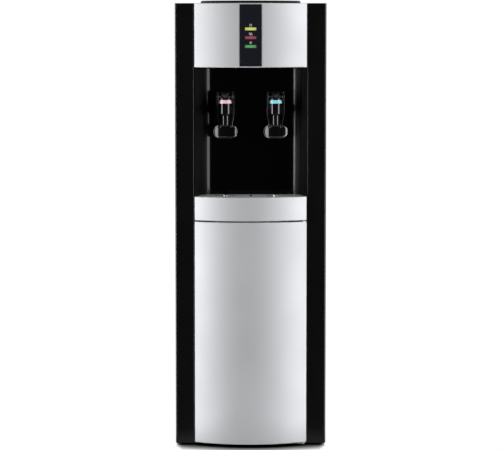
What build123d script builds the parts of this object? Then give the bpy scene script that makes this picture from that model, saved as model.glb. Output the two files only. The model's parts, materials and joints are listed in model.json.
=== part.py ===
from build123d import *
import os
from math import atan, cos, pi, radians, sin, sqrt, tan

# Floor-standing water dispenser for an upturned bottle, with a hot and a cold tap.
# Millimetres. +Z is up, the front faces -Y, the origin is on the floor under the middle of the bounding box.
# A "depth" is always measured back from the faces of the two black columns.

os.makedirs("parts", exist_ok=True)

# Overall sizes
body_width = 330.0  # across the side panels
body_height = 972.0  # floor to the top of the side panels
body_depth = 275.0  # column faces to the rear flanges
column_width = 41.0  # black strip that each side panel shows at the front
front_bulge = 33.0  # how far the bowed fronts stand ahead of the columns
condenser_reach = 27.0  # how far the condenser's drier stands behind the rear flanges
foot_height = 6.0
collar_rise = 6.5  # bottle collar above the side panels

# Heights of the front; the niche takes what the other pieces leave
door_clearance = 1.5
door_height = 488.7
seam = 2.8  # gap between the door and the tray band
tray_band = 52.0
fascia_height = 139.0

# Walls and clearances
sheet = 1.0  # steel of the panels
wall = 2.5  # moulded plastic
reveal = 1.5  # gap between a bowed front and the columns
front_edge = 1.2  # rounding round a bowed front
fit_gap = 0.3  # pieces that seat in one another
snug_gap = 0.1  # rings that are clamped or snapped on
running_gap = 0.08  # radial, round a hinge pin

# Side panels
column_lip = 14.0  # depth of the lip that turns in beside the bowed fronts
rear_flange = 14.0
column_bend = 4.0  # outer radius of the front corner
small_bend = 1.5

# Base
pan_front = 26.0  # depth of the base pan's front wall
pan_height = 24.0
pan_wall = 2.0
pan_corner = 6.0
foot_radius = 16.0
foot_taper = 2.0
foot_stem = 5.0
foot_inset = 24.0  # foot centre in from the side of the body
foot_setback = 30.0  # foot centre in from the pan's front and rear

# Doorway
door_return = 16.0  # depth of the door's side walls
door_liner_thickness = 2.0
hinge_inset = 7.5  # pivot in from the door's edge
hinge_depth = 3.0
pin_radius = 2.5
pin_length = 14.0  # in the door
bush_radius = 4.5
bush_flange = 1.2
hinge_nose = 3.8
hinge_plate = 2.5
hinge_length = 60.0
catch_height = 250.0  # magnet catch above the floor
catch_size = 24.0
catch_width = 12.0

# Storage cabinet behind the door
cabinet_half = 116.0
cabinet_front = 24.0
cabinet_rear_gap = 27.7  # behind the cabinet
hump_gap = 25.0  # between the compressor and the step over it
hump_headroom = 61.0  # above the compressor
cabinet_top_gap = 9.0  # below the tray band
liner_wall = 1.5
liner_flange = 13.0  # reaches behind the columns' lips

# Tray and niche
niche_front = 1.0  # depth of the niche's front edges
niche_depth = 69.0
niche_back_half = 103.0
niche_corner = 34.0
tray_join = 4.0  # depth where the band's bowed face meets its splayed sides
tray_floor_rise = 11.5  # underside cavity of the tray band
tray_clearance = 0.5
basin_wall = 2.0
basin_draft = 2.0  # degrees
grille_thickness = 2.5
drain_ring = 9.0  # mean radius of the inner ring slot under a tap
drain_ring_step = 9.0
drain_slot = 3.0
drain_bridges = 3
bridge_width = 4.0
finger_slot_width = 4.0
finger_slot_length = 46.0

# Upper fascia and its display strip
strip_half = 24.0
strip_proud = 0.6
strip_flange = 2.0
strip_lap = 4.0
light_width = 24.0
light_height = 5.7
light_pitch = 18.9
light_drop = 5.0  # middle light below the middle of the fascia
lens_proud = 0.3
lens_lap = 1.5
board_depth = 11.0  # behind the middle of the bowed face
board_thickness = 1.6
board_height = 96.0
post_radius = 2.5
led_width = 18.0

# Bottle seat
bottle_depth = 162.0  # axis of the bottle and both tanks
collar_margin = 1.0  # collar in from the rear flanges
collar_land = 14.0  # flat top of the collar
collar_slope = 4.0  # from the flat top in to the funnel
collar_edge = 2.5
neck_radius = 33.0
funnel_drop = 37.0
neck_depth = 17.0
neck_dip = 14.0  # neck socket into the cold tank
probe_radius = 9.0
probe_height = 38.0
probe_hole = 3.0
probe_foot_holes = 4
probe_foot_hole = 8.0
cover_skirt = 14.0

# Water tanks
deck_rise = 5.0  # deck above the foot of the tray band
deck_gap = 7.0  # deck behind the niche
deck_flange = 12.0
hot_radius = 48.0
hot_legs = 56.0  # room for the drain under the hot tank
tank_wall = 1.5
tank_dome = 8.0
stub_radius = 7.0
stub_length = 7.0
stub_side = 25.0  # outlet stubs out from the tank axis
stub_forward = 22.0
heater_height = 40.0
heater_band_wall = 1.7
terminal_length = 14.0
hose_drop = 18.0  # hot tank's outlet below the tap inlets
hose_rise = 25.0  # cold tank's outlet above the tap inlets
bridge_half = 105.0
bridge_thickness = 1.5
bridge_depth = 120.0
bridge_foot = 12.0
jacket_wall = 19.0
jacket_gap = 1.9  # between the foam jacket and the niche
jacket_base = 18.0
coil_width = 4.0
coil_turns = 5.5
coil_sides = 16
coil_margin = 12.0
coil_tail = 4.0
feed_radius = 6.0
feed_bore = 4.0
baffle_height = 55.0  # above the cold tank's floor
baffle_gap = 2.0
baffle_holes = 6
baffle_rim = 9.0  # between the holes and the disc's edge
hose_radius = 7.0
hose_bend = 12.0

# Taps
tap_spacing = 110.0
tap_depth = 27.0
tap_drop = 93.0  # inlets below the fascia
nozzle_radius = 8.6
nozzle_bore = 5.0
nozzle_drop = 34.0
chamber_radius = 13.8
chamber_bore = 10.5
chamber_drop = 11.0
chamber_rise = 13.4
seat_thickness = 2.0
inlet_radius = 8.5
flange_radius = 17.0
flange_thickness = 4.0
stub_thread = 8.0
stub_reach = 19.0  # thread behind the niche wall
seal_thickness = 2.0
seal_radius = 14.0
nut_flats = 26.0
nut_thickness = 7.0
bonnet_skirt = 4.0
bonnet_rim = 3.2
band_height = 7.5
band_wall = 2.1
band_proud = 0.5  # colour band outside the chamber
band_arc = 250.0
stem_radius = 2.0
head_radius = 6.0
head_thickness = 3.0
plug_radius = 9.5
plug_height = 6.0
spring_wire = 1.2
spring_radius = 6.5
spring_turns = 3
spring_sides = 10
pivot_forward = 8.0  # lever pivot ahead of the tap axis
pivot_rise = 3.5  # above the bonnet
pivot_radius = 1.5
ear_inner = 9.0
ear_thickness = 4.0
ear_radius = 4.0
prong_inner = 3.2
prong_width = 4.3
prong_radius = 1.5
hub_radius = 3.2
prong_post = 5.0
hood_gap = 3.3  # hood above the stem head
hood_thickness = 3.0
hood_length = 25.0
arm_inner = 15.5
arm_thickness = 3.5
paddle_width = 53.0
paddle_height = 29.0
paddle_curve = 40.0
paddle_wall = 3.0
paddle_depth = 13.0  # behind the tap axis
paddle_corner = 14.0
paddle_rim = 2.6
paddle_dish = 1.4  # how deep the paddle's face is scooped inside its rim
arm_taper = 5.5  # how far each arm leans in below the chamber

# Cooling system
compressor_radius = 54.0
compressor_height = 150.0
compressor_setback = 75.0  # can's axis ahead of the rear flanges
compressor_seam = 3.0
compressor_shoulder = 14.0
plate_thickness = 3.0
grommet_radius = 9.0
grommet_height = 22.0
grommet_x = 130.0
grommet_y = 70.0
pad_height = 6.0
relay_width = 30.0
relay_height = 46.0
relay_depth = 24.0
pipe_radius = 2.5
capillary_radius = 1.2
pipe_bend = 14.0
pipe_side = 140.0
capillary_side = 150.0
capillary_depth = 220.0
condenser_half = 118.0
condenser_runs = 6
condenser_pitch = 62.0
condenser_straight = 6.0  # between the two bends at the end of a run
condenser_drop = 67.0  # first run below the top of the side panels
wire_radius = 0.8
wire_gap = 0.05
wire_count = 12
wire_overhang = 14.0
bracket_thickness = 1.5
bracket_foot = 14.0
drier_radius = 8.0
drier_height = 90.0
drier_side = 127.0
drier_drop = 46.0  # below the lowest condenser run
drier_bend = 7.0
discharge_rise = 16.0  # above the can's seam
suction_drop = 44.0
capillary_dip = 30.0
capillary_bend = 10.0

# Rear fittings
bay_height = 174.0  # open compressor bay under the back panel
back_top_gap = 4.0
vent_length = 60.0
vent_width = 5.0
vent_pitch = 12.0
vent_rows = 5
drain_rise = 26.0  # drain above the deck
drain_radius = 9.0
drain_spout = 12.0  # spout behind the back panel
cap_radius = 13.0
cap_length = 15.0
cap_flutes = 8
flute_radius = 2.0
gland_radius = 9.0
gland_side = 120.0
gland_rise = 35.0  # above the bay
gland_flange = 3.0
gland_bore = 4.0
switch_side = 110.0
switch_drop = 37.0  # below the top of the side panels
switch_length = 26.0
switch_pitch = 21.0
switch_border = 3.0
switch_body = 12.0
switch_flange = 2.0
rocker_width = 15.0
rocker_tilt = 10.0
rocker_pivot = 3.0  # inside the back panel
rocker_rise = 5.5
rocker_end_gap = 1.9
control_width = 70.0
control_height = 90.0
control_depth = 35.0
control_drop = 62.0
control_side = 120.0

# Places that follow from the sizes above
half_width = body_width / 2
column_inner = half_width - column_width
panel_half = column_inner - reveal
front_radius = (panel_half**2 + front_bulge**2) / (2 * front_bulge)
column_plane = (front_bulge + strip_proud + lens_proud - body_depth - condenser_reach) / 2
arc_y = column_plane - front_bulge + front_radius
inner_half = half_width - sheet - fit_gap
inner_rear = body_depth - 2 * sheet - fit_gap
door_bottom = foot_height + door_clearance
door_top = door_bottom + door_height
tray_bottom = door_top + seam
tray_top = tray_bottom + tray_band
fascia_bottom = body_height - fascia_height
niche_front_half = column_inner - fit_gap - wall
splay = atan((niche_front_half - niche_back_half) / (niche_depth - niche_front))
tray_grow = (panel_half - niche_front_half) * cos(splay)
hinge_x = panel_half - hinge_inset
compressor_depth = body_depth - compressor_setback


def behind(depth):
    """Y of a place this far behind the column faces."""
    return column_plane + depth


def upright(depth):
    """Vertical plane across the body: local x is X, local y is Z, and it faces the front."""
    return Plane.XZ.offset(-behind(depth))


def section(x, depth):
    """Vertical plane through an upright axis, for a revolved profile of radius and height."""
    return Plane(origin=(x, behind(depth), 0), x_dir=(1, 0, 0), z_dir=(0, -1, 0))


def upright_axis(x, depth):
    """Vertical axis at a place in plan."""
    return Axis((x, behind(depth), 0), (0, 0, 1))


def bow(x):
    """How far the bowed face falls back from its middle at this distance to the side."""
    return front_radius - sqrt(front_radius**2 - x**2)


def plan_box(low_x, high_x, front, rear, mode=Mode.ADD):
    """Rectangle in a plan sketch, given by its sides and its depths."""
    with Locations(((low_x + high_x) / 2, behind((front + rear) / 2))):
        Rectangle(high_x - low_x, rear - front, mode=mode)


def bowed_face(inset):
    """Arc of the bowed front, this far inside its skin."""
    half = panel_half - inset
    radius = front_radius - inset
    side = arc_y - sqrt(radius**2 - half**2)
    return ThreePointArc((-half, side), (0, arc_y - radius), (half, side))


def bowed_outline(inset, depth):
    """Closed plan line of a bowed front piece that is cut off square at its back."""
    face = bowed_face(inset)
    half = panel_half - inset
    Polyline(face @ 1, (half, behind(depth)), (-half, behind(depth)), face @ 0)


def niche_line(grow, front):
    """Open plan line of the niche, this far outside its inner face, with rounded back corners."""

    def half(depth):
        return niche_front_half - (depth - niche_front) * tan(splay) + grow / cos(splay)

    rear = niche_depth + grow
    return FilletPolyline(
        (half(front), behind(front)),
        (half(rear), behind(rear)),
        (-half(rear), behind(rear)),
        (-half(front), behind(front)),
        radius=niche_corner + grow,
    )


def tray_outline(inset):
    """Closed plan line of the tray band: bowed in front, following the niche behind."""
    face = bowed_face(inset)
    back = niche_line(tray_grow - inset, tray_join)
    Line(face @ 1, back @ 0)
    Line(back @ 1, face @ 0)


def bowed_band(outer, inner, half):
    """Plan strip of the bowed face between two insets, cut to a width."""
    with Locations((0, arc_y)):
        Circle(front_radius - outer)
        Circle(front_radius - inner, mode=Mode.SUBTRACT)
    with Locations((0, arc_y - front_radius)):
        Rectangle(2 * half, front_radius, mode=Mode.INTERSECT)


def swept_tube(points, bend, radius):
    """Round tube along straight runs joined by tangent arcs."""
    with BuildLine() as route:
        FilletPolyline(*points, radius=bend)
    with BuildSketch(Plane(origin=route.line @ 0, z_dir=route.line % 0)) as bore:
        Circle(radius)
    sweep(bore.sketch, path=route.line)


def wound_wire(points, width):
    """Square wire along a wound line of short straight runs."""
    with BuildLine() as route:
        Polyline(*points)
    with BuildSketch(Plane(origin=route.line @ 0, z_dir=route.line % 0)) as wire:
        Rectangle(width, width)
    sweep(wire.sketch, path=route.line, transition=Transition.RIGHT)


# Base pan: a pressed tray with pads under the compressor's grommets
pan_rear = inner_rear + sheet
pan_middle = behind((pan_front + pan_rear) / 2)
pan_floor = foot_height + pan_wall
grommet_bottom = pan_floor + pad_height
plate_bottom = grommet_bottom + grommet_height
can_bottom = plate_bottom + plate_thickness
can_top = can_bottom + compressor_height
foot_x = half_width - foot_inset
foot_spots = [
    (x, behind(depth))
    for x in (-foot_x, foot_x)
    for depth in (pan_front + foot_setback, pan_rear - foot_setback)
]
with BuildPart() as base_pan:
    with BuildSketch(Plane.XY.offset(foot_height)):
        with Locations((0, pan_middle)):
            RectangleRounded(2 * inner_half, pan_rear - pan_front, pan_corner)
    extrude(amount=pan_height)
    offset(amount=-pan_wall, openings=base_pan.faces().sort_by(Axis.Z)[-1])
    with BuildSketch(Plane.XY.offset(pan_floor)):
        with Locations((0, behind(compressor_depth))):
            with GridLocations(grommet_x, grommet_y, 2, 2):
                Circle(grommet_radius + pan_wall)
    extrude(amount=pad_height)
    with Locations(*[(x, y, pan_floor) for x, y in foot_spots]):
        Hole(foot_stem + running_gap)
base_pan.part.label = "base_pan"
export_step(base_pan.part, "parts/base_pan.step")

# Rubber feet, pressed through the pan by their stems
with BuildPart() as feet:
    with Locations(*foot_spots):
        Cone(
            foot_radius - foot_taper,
            foot_radius,
            foot_height,
            align=(Align.CENTER, Align.CENTER, Align.MIN),
        )
        Cylinder(
            foot_stem,
            pan_floor + pan_wall,
            align=(Align.CENTER, Align.CENTER, Align.MIN),
        )
feet.part.label = "feet"
export_step(feet.part, "parts/feet.step")

# Side panels: one folded sheet each, with the front column, an inner lip and a rear flange
with BuildPart() as left_side_panel:
    with BuildSketch(Plane.XY.offset(foot_height)):
        with BuildLine():
            skin = FilletPolyline(
                (-column_inner, behind(column_lip)),
                (-column_inner, behind(0)),
                (-half_width, behind(0)),
                (-half_width, behind(body_depth)),
                (-half_width + rear_flange, behind(body_depth)),
                radius=[small_bend, column_bend, small_bend],
            )
            offset(skin, amount=sheet, side=Side.RIGHT)
        make_face()
    extrude(amount=body_height - foot_height)
left_side_panel.part.label = "left_side_panel"
export_step(left_side_panel.part, "parts/left_side_panel.step")

with BuildPart() as right_side_panel:
    mirror(left_side_panel.part, about=Plane.YZ)
right_side_panel.part.label = "right_side_panel"
export_step(right_side_panel.part, "parts/right_side_panel.step")

# Back panel: a sheet above the open compressor bay, with vents and the cut-outs of the rear fittings
bay_top = foot_height + bay_height
deck_top = tray_bottom + deck_rise
drain_z = deck_top + drain_rise
gland_z = bay_top + gland_rise
switch_z = body_height - switch_drop
back_top = body_height - back_top_gap
switch_width = switch_pitch + rocker_width + 2 * switch_border
with BuildPart() as back_panel:
    with BuildSketch(upright(body_depth - sheet)):
        with Locations((0, (bay_top + back_top) / 2)):
            Rectangle(2 * (inner_half - small_bend), back_top - bay_top)
        with Locations((0, drain_z)):
            Circle(drain_radius + fit_gap, mode=Mode.SUBTRACT)
        with Locations((-gland_side, gland_z)):
            Circle(gland_radius + fit_gap, mode=Mode.SUBTRACT)
        with Locations((switch_side, switch_z)):
            Rectangle(switch_width + fit_gap * 2, switch_length + fit_gap * 2, mode=Mode.SUBTRACT)
        with Locations((0, bay_top + vent_rows * vent_pitch)):
            with GridLocations(vent_length + vent_pitch, vent_pitch, 2, vent_rows):
                SlotOverall(vent_length, vent_width, mode=Mode.SUBTRACT)
    extrude(amount=sheet)
back_panel.part.label = "back_panel"
export_step(back_panel.part, "parts/back_panel.step")

# Top cover: a shallow moulded lid with ears that close the tops of the columns
ear_low = column_inner + sheet + fit_gap
collar_radius = body_depth - bottle_depth - collar_margin
funnel_radius = collar_radius - collar_land - collar_slope
with BuildPart() as top_cover:
    with BuildSketch(Plane.XY.offset(body_height - cover_skirt)) as cover_plan:
        plan_box(-inner_half, inner_half, column_lip + fit_gap, inner_rear)
        plan_box(ear_low, inner_half, sheet + fit_gap, column_lip + wall)
        plan_box(-inner_half, -ear_low, sheet + fit_gap, column_lip + wall)
        corners = cover_plan.vertices().group_by(Axis.Y)[0].sort_by(Axis.X)
        fillet([corners[0], corners[-1]], column_bend)
    extrude(amount=cover_skirt)
    offset(amount=-wall, openings=top_cover.faces().sort_by(Axis.Z)[0])
    with Locations((0, behind(bottle_depth), body_height)):
        Hole(funnel_radius + fit_gap)
top_cover.part.label = "top_cover"
export_step(top_cover.part, "parts/top_cover.step")

# Bottle collar: rim, funnel and neck socket in one turned moulding
collar_lip = collar_radius - collar_land
collar_top = body_height + collar_rise
socket_top = body_height - funnel_drop
socket_bottom = socket_top - neck_depth
with BuildPart() as bottle_collar:
    with BuildSketch(section(0, bottle_depth)):
        with BuildLine():
            Polyline(
                (collar_radius, body_height),
                (collar_radius, collar_top - collar_edge),
                (collar_radius - collar_edge, collar_top),
                (collar_lip, collar_top),
                (funnel_radius - wall, body_height - wall),
                (neck_radius, socket_top),
                (neck_radius, socket_bottom),
                (neck_radius + wall, socket_bottom),
                (neck_radius + wall, socket_top - wall / 2),
                (funnel_radius, body_height - 2 * wall),
                (funnel_radius, body_height),
                close=True,
            )
        make_face()
    revolve(axis=upright_axis(0, bottle_depth))
bottle_collar.part.label = "bottle_collar"
export_step(bottle_collar.part, "parts/bottle_collar.step")

# Bottle probe: hollow spike with side holes on a spoked foot, standing on the foot of the neck socket
probe_top = socket_bottom + probe_height
with BuildPart() as bottle_probe:
    with BuildSketch(section(0, bottle_depth)):
        with BuildLine():
            Polyline(
                (0, probe_top),
                (probe_radius / 2, probe_top),
                (probe_radius, probe_top - probe_radius),
                (probe_radius, socket_bottom - wall),
                (neck_radius + wall, socket_bottom - wall),
                (neck_radius + wall, socket_bottom - 2 * wall),
                (probe_radius - wall, socket_bottom - 2 * wall),
                (probe_radius - wall, probe_top - probe_radius),
                (0, probe_top - probe_radius),
                close=True,
            )
        make_face()
    revolve(axis=upright_axis(0, bottle_depth))
    with BuildSketch(upright(bottle_depth)):
        with Locations((0, probe_top - 2 * probe_radius)):
            Circle(probe_hole)
    extrude(amount=2 * probe_radius, both=True, mode=Mode.SUBTRACT)
    with Locations((0, behind(bottle_depth), socket_bottom)):
        with PolarLocations((probe_radius + neck_radius) / 2, probe_foot_holes):
            Hole(probe_foot_hole)
    with BuildSketch(Plane.XY.offset(socket_bottom - wall)):
        with Locations((0, behind(bottle_depth))):
            Circle(neck_radius + wall)
            Circle(neck_radius, mode=Mode.SUBTRACT)
    extrude(amount=wall)
bottle_probe.part.label = "bottle_probe"
export_step(bottle_probe.part, "parts/bottle_probe.step")

# Upper fascia: bowed shell, open at the back, with a slot for the display strip
fascia_middle = (fascia_bottom + body_height) / 2
slot_bottom = fascia_bottom + wall
slot_height = body_height - wall - slot_bottom
with BuildPart() as upper_fascia:
    with BuildSketch(Plane.XY.offset(fascia_bottom)):
        with BuildLine():
            bowed_outline(0, column_lip)
        make_face()
    extrude(amount=fascia_height)
    fillet(upper_fascia.faces().sort_by(Axis.Y)[0].edges(), front_edge)
    with BuildSketch(Plane.XY.offset(slot_bottom)):
        with BuildLine():
            bowed_outline(wall, column_lip)
        make_face()
    extrude(amount=slot_height, mode=Mode.SUBTRACT)
    with BuildSketch(Plane.XY.offset(slot_bottom)):
        plan_box(-strip_half, strip_half, -front_bulge - wall, -front_bulge / 2)
    extrude(amount=slot_height, mode=Mode.SUBTRACT)
upper_fascia.part.label = "upper_fascia"
export_step(upper_fascia.part, "parts/upper_fascia.step")

# Display strip: bowed face with three windows, a flange behind the fascia and posts for the board
front_y = arc_y - front_radius
board_y = front_y + board_depth
light_heights = [fascia_middle - light_drop + row * light_pitch for row in (1, 0, -1)]
strip_low = slot_bottom + fit_gap
strip_height = slot_height - 2 * fit_gap
flange_front = wall + fit_gap
flange_rear = flange_front + strip_flange
post_x = strip_half + strip_lap - post_radius
with BuildPart() as display_strip:
    with BuildSketch(Plane.XY.offset(strip_low)):
        bowed_band(-strip_proud, flange_rear, strip_half - fit_gap)
    extrude(amount=strip_height)
    with BuildSketch(Plane.XY.offset(strip_low)):
        bowed_band(flange_front, flange_rear, strip_half + strip_lap)
    extrude(amount=strip_height)
    with BuildSketch(Plane.XZ.offset(-front_y + wall)):
        for height in light_heights:
            with Locations((0, height)):
                Rectangle(light_width + 2 * fit_gap, light_height + 2 * fit_gap)
    extrude(amount=-(wall + board_depth), mode=Mode.SUBTRACT)
    with BuildSketch(Plane.XZ.offset(-board_y)):
        with Locations((0, light_heights[1])):
            with GridLocations(2 * post_x, board_height - 4 * post_radius, 2, 2):
                Circle(post_radius)
    extrude(amount=board_depth - flange_rear - bow(post_x) + strip_flange / 2)
display_strip.part.label = "display_strip"
export_step(display_strip.part, "parts/display_strip.step")


def indicator_lens(height):
    """Lens bar that fills a window of the strip, held by its lap behind it."""
    lap_front = flange_rear + fit_gap
    with BuildPart() as lens:
        with BuildSketch(Plane.XY.offset(height - light_height / 2)):
            bowed_band(-strip_proud - lens_proud, lap_front, light_width / 2)
        extrude(amount=light_height)
        with BuildSketch(Plane.XY.offset(height - light_height / 2 - lens_lap)):
            bowed_band(lap_front, lap_front + lens_lap, light_width / 2 + lens_lap)
        extrude(amount=light_height + 2 * lens_lap)
    return lens


power_lens = indicator_lens(light_heights[0])
power_lens.part.label = "power_lens"
export_step(power_lens.part, "parts/power_lens.step")

heating_lens = indicator_lens(light_heights[1])
heating_lens.part.label = "heating_lens"
export_step(heating_lens.part, "parts/heating_lens.step")

cooling_lens = indicator_lens(light_heights[2])
cooling_lens.part.label = "cooling_lens"
export_step(cooling_lens.part, "parts/cooling_lens.step")

# Indicator board: flat board on the strip's posts, with a lamp behind each lens
lamp_reach = board_depth - flange_rear - 2 * fit_gap - lens_lap - bow(led_width / 2)
with BuildPart() as indicator_board:
    with BuildSketch(Plane.XZ.offset(-board_y)):
        with Locations((0, light_heights[1])):
            Rectangle(2 * (strip_half + strip_lap), board_height)
    extrude(amount=-board_thickness)
    with BuildSketch(Plane.XZ.offset(-board_y)):
        for height in light_heights:
            with Locations((0, height)):
                Rectangle(led_width, light_height)
    extrude(amount=lamp_reach)
indicator_board.part.label = "indicator_board"
export_step(indicator_board.part, "parts/indicator_board.step")

# Niche liner: splayed sides, rounded back corners and a ceiling, with a hole for each tap
tap_x = tap_spacing / 2
tap_sides = (-tap_x, tap_x)
inlet_z = fascia_bottom - tap_drop
niche_top = fascia_bottom - fit_gap
with BuildPart() as niche_liner:
    with BuildSketch(Plane.XY.offset(tray_top)):
        with BuildLine():
            outside = niche_line(wall, niche_front)
            Line(outside @ 1, outside @ 0)
        make_face()
    extrude(amount=niche_top - tray_top)
    with BuildSketch(Plane.XY.offset(tray_top)):
        with BuildLine():
            inside = niche_line(0, niche_front)
            Line(inside @ 1, inside @ 0)
        make_face()
    extrude(amount=niche_top - wall - tray_top, mode=Mode.SUBTRACT)
    with BuildSketch(upright(niche_depth)):
        for x in tap_sides:
            with Locations((x, inlet_z)):
                Circle(stub_thread + fit_gap)
    extrude(amount=-2 * wall, mode=Mode.SUBTRACT)
niche_liner.part.label = "niche_liner"
export_step(niche_liner.part, "parts/niche_liner.step")

# Tray housing: the silver band, a bin above its floor and a cavity for the hinge below
housing_floor = tray_bottom + tray_floor_rise
with BuildPart() as tray_housing:
    with BuildSketch(Plane.XY.offset(tray_bottom)):
        with BuildLine():
            tray_outline(0)
        make_face()
    extrude(amount=tray_band)
    fillet(tray_housing.faces().sort_by(Axis.Y)[0].edges(), front_edge)
    with BuildSketch(Plane.XY.offset(housing_floor)):
        with BuildLine():
            tray_outline(wall)
        make_face()
    extrude(amount=tray_top - housing_floor, mode=Mode.SUBTRACT)
    with BuildSketch(Plane.XY.offset(tray_bottom)):
        with BuildLine():
            tray_outline(wall)
        make_face()
    extrude(amount=tray_floor_rise - wall, mode=Mode.SUBTRACT)
tray_housing.part.label = "tray_housing"
export_step(tray_housing.part, "parts/tray_housing.step")

# Drip tray: a loose basin that lifts out of the housing
grille_bottom = tray_top - grille_thickness
basin_bottom = housing_floor + fit_gap
basin_top = grille_bottom - fit_gap
with BuildPart() as drip_tray:
    with BuildSketch(Plane.XY.offset(basin_top)):
        with BuildLine():
            tray_outline(wall + tray_clearance)
        make_face()
    extrude(amount=basin_bottom - basin_top, taper=basin_draft)
    with BuildSketch(Plane.XY.offset(basin_top)):
        with BuildLine():
            tray_outline(wall + tray_clearance + basin_wall)
        make_face()
    extrude(amount=basin_bottom + basin_wall - basin_top, taper=basin_draft, mode=Mode.SUBTRACT)
drip_tray.part.label = "drip_tray"
export_step(drip_tray.part, "parts/drip_tray.step")

# Drip grille: plate flush with the band, with ring slots under each tap and a finger slot between them
with BuildPart() as drip_grille:
    with BuildSketch(Plane.XY.offset(grille_bottom)):
        with BuildLine():
            tray_outline(wall + tray_clearance)
        make_face()
        with Locations((0, behind(tap_depth))):
            SlotOverall(finger_slot_length, finger_slot_width, rotation=90, mode=Mode.SUBTRACT)
    extrude(amount=grille_thickness)
    with BuildSketch(Plane.XY.offset(grille_bottom)):
        with Locations(*[(x, behind(tap_depth)) for x in tap_sides]):
            for ring in (drain_ring, drain_ring + drain_ring_step):
                Circle(ring + drain_slot / 2)
                Circle(ring - drain_slot / 2, mode=Mode.SUBTRACT)
            with PolarLocations(drain_ring + drain_ring_step / 2, drain_bridges, start_angle=90):
                Rectangle(2 * drain_ring_step, bridge_width, mode=Mode.SUBTRACT)
    extrude(amount=grille_thickness, mode=Mode.SUBTRACT)
drip_grille.part.label = "drip_grille"
export_step(drip_grille.part, "parts/drip_grille.step")

# Cabinet liner: storage box behind the door, stepped over the compressor bay, with a front flange
cabinet_bottom = foot_height + pan_height
cabinet_top = tray_bottom - cabinet_top_gap
cabinet_depth = inner_rear - cabinet_rear_gap
cabinet_hump = compressor_depth - compressor_radius - compressor_seam - hump_gap
hump_height = can_top + hump_headroom
with BuildPart() as cabinet_liner:
    with BuildSketch(Plane.YZ):
        with BuildLine():
            Polyline(
                (behind(cabinet_front), cabinet_bottom),
                (behind(cabinet_hump + liner_wall), cabinet_bottom),
                (behind(cabinet_hump + liner_wall), hump_height - liner_wall),
                (behind(cabinet_depth + liner_wall), hump_height - liner_wall),
                (behind(cabinet_depth + liner_wall), cabinet_top),
                (behind(cabinet_front), cabinet_top),
                close=True,
            )
        make_face()
    extrude(amount=cabinet_half + liner_wall, both=True)
    offset(amount=-liner_wall, openings=cabinet_liner.faces().sort_by(Axis.Y)[0])
    with BuildSketch(upright(cabinet_front)):
        with Locations((0, (cabinet_bottom + cabinet_top) / 2)):
            Rectangle(
                2 * (cabinet_half + liner_wall + liner_flange),
                cabinet_top - cabinet_bottom,
            )
            Rectangle(
                2 * cabinet_half,
                cabinet_top - cabinet_bottom - 2 * liner_wall,
                mode=Mode.SUBTRACT,
            )
    extrude(amount=liner_wall)
cabinet_liner.part.label = "cabinet_liner"
export_step(cabinet_liner.part, "parts/cabinet_liner.step")

# Door skin: bowed shell with closed ends, bored for its hinge bushes
with BuildPart() as door_skin:
    with BuildSketch(Plane.XY.offset(door_bottom)):
        with BuildLine():
            bowed_outline(0, door_return)
        make_face()
    extrude(amount=door_height)
    fillet(door_skin.faces().sort_by(Axis.Y)[0].edges(), front_edge)
    with BuildSketch(Plane.XY.offset(door_bottom + wall)):
        with BuildLine():
            bowed_outline(wall, door_return)
        make_face()
    extrude(amount=door_height - 2 * wall, mode=Mode.SUBTRACT)
    with BuildSketch(Plane.XY.offset(door_bottom)):
        with Locations((hinge_x, behind(hinge_depth))):
            Circle(bush_radius)
    extrude(amount=door_height, mode=Mode.SUBTRACT)
door_skin.part.label = "door_skin"
export_step(door_skin.part, "parts/door_skin.step")

# Door liner: flat panel that closes the back of the skin, with a spigot that locates inside it
liner_rear = door_return + door_liner_thickness
door_middle = door_bottom + door_height / 2
spigot_half = panel_half - wall - fit_gap
spigot_height = door_height - 2 * (wall + fit_gap)
with BuildPart() as door_liner:
    with BuildSketch(upright(door_return)):
        with Locations((0, door_middle)):
            Rectangle(2 * panel_half, door_height)
    extrude(amount=-door_liner_thickness)
    with BuildSketch(upright(door_return)):
        with Locations((0, door_middle)):
            Rectangle(2 * spigot_half, spigot_height)
            Rectangle(2 * (spigot_half - wall), spigot_height - 2 * wall, mode=Mode.SUBTRACT)
    extrude(amount=2 * wall)
door_liner.part.label = "door_liner"
export_step(door_liner.part, "parts/door_liner.step")

# Door bushes: flanged sleeves in the ends of the door
with BuildPart() as door_bushes:
    for end, outward in ((door_bottom, -1), (door_top, 1)):
        with BuildSketch(section(hinge_x, hinge_depth)):
            with BuildLine():
                Polyline(
                    (pin_radius + running_gap, end - outward * pin_length),
                    (bush_radius, end - outward * pin_length),
                    (bush_radius, end),
                    (bush_radius + bush_flange, end),
                    (bush_radius + bush_flange, end + outward * bush_flange),
                    (pin_radius + running_gap, end + outward * bush_flange),
                    close=True,
                )
            make_face()
        revolve(axis=upright_axis(hinge_x, hinge_depth))
door_bushes.part.label = "door_bushes"
export_step(door_bushes.part, "parts/door_bushes.step")

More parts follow.
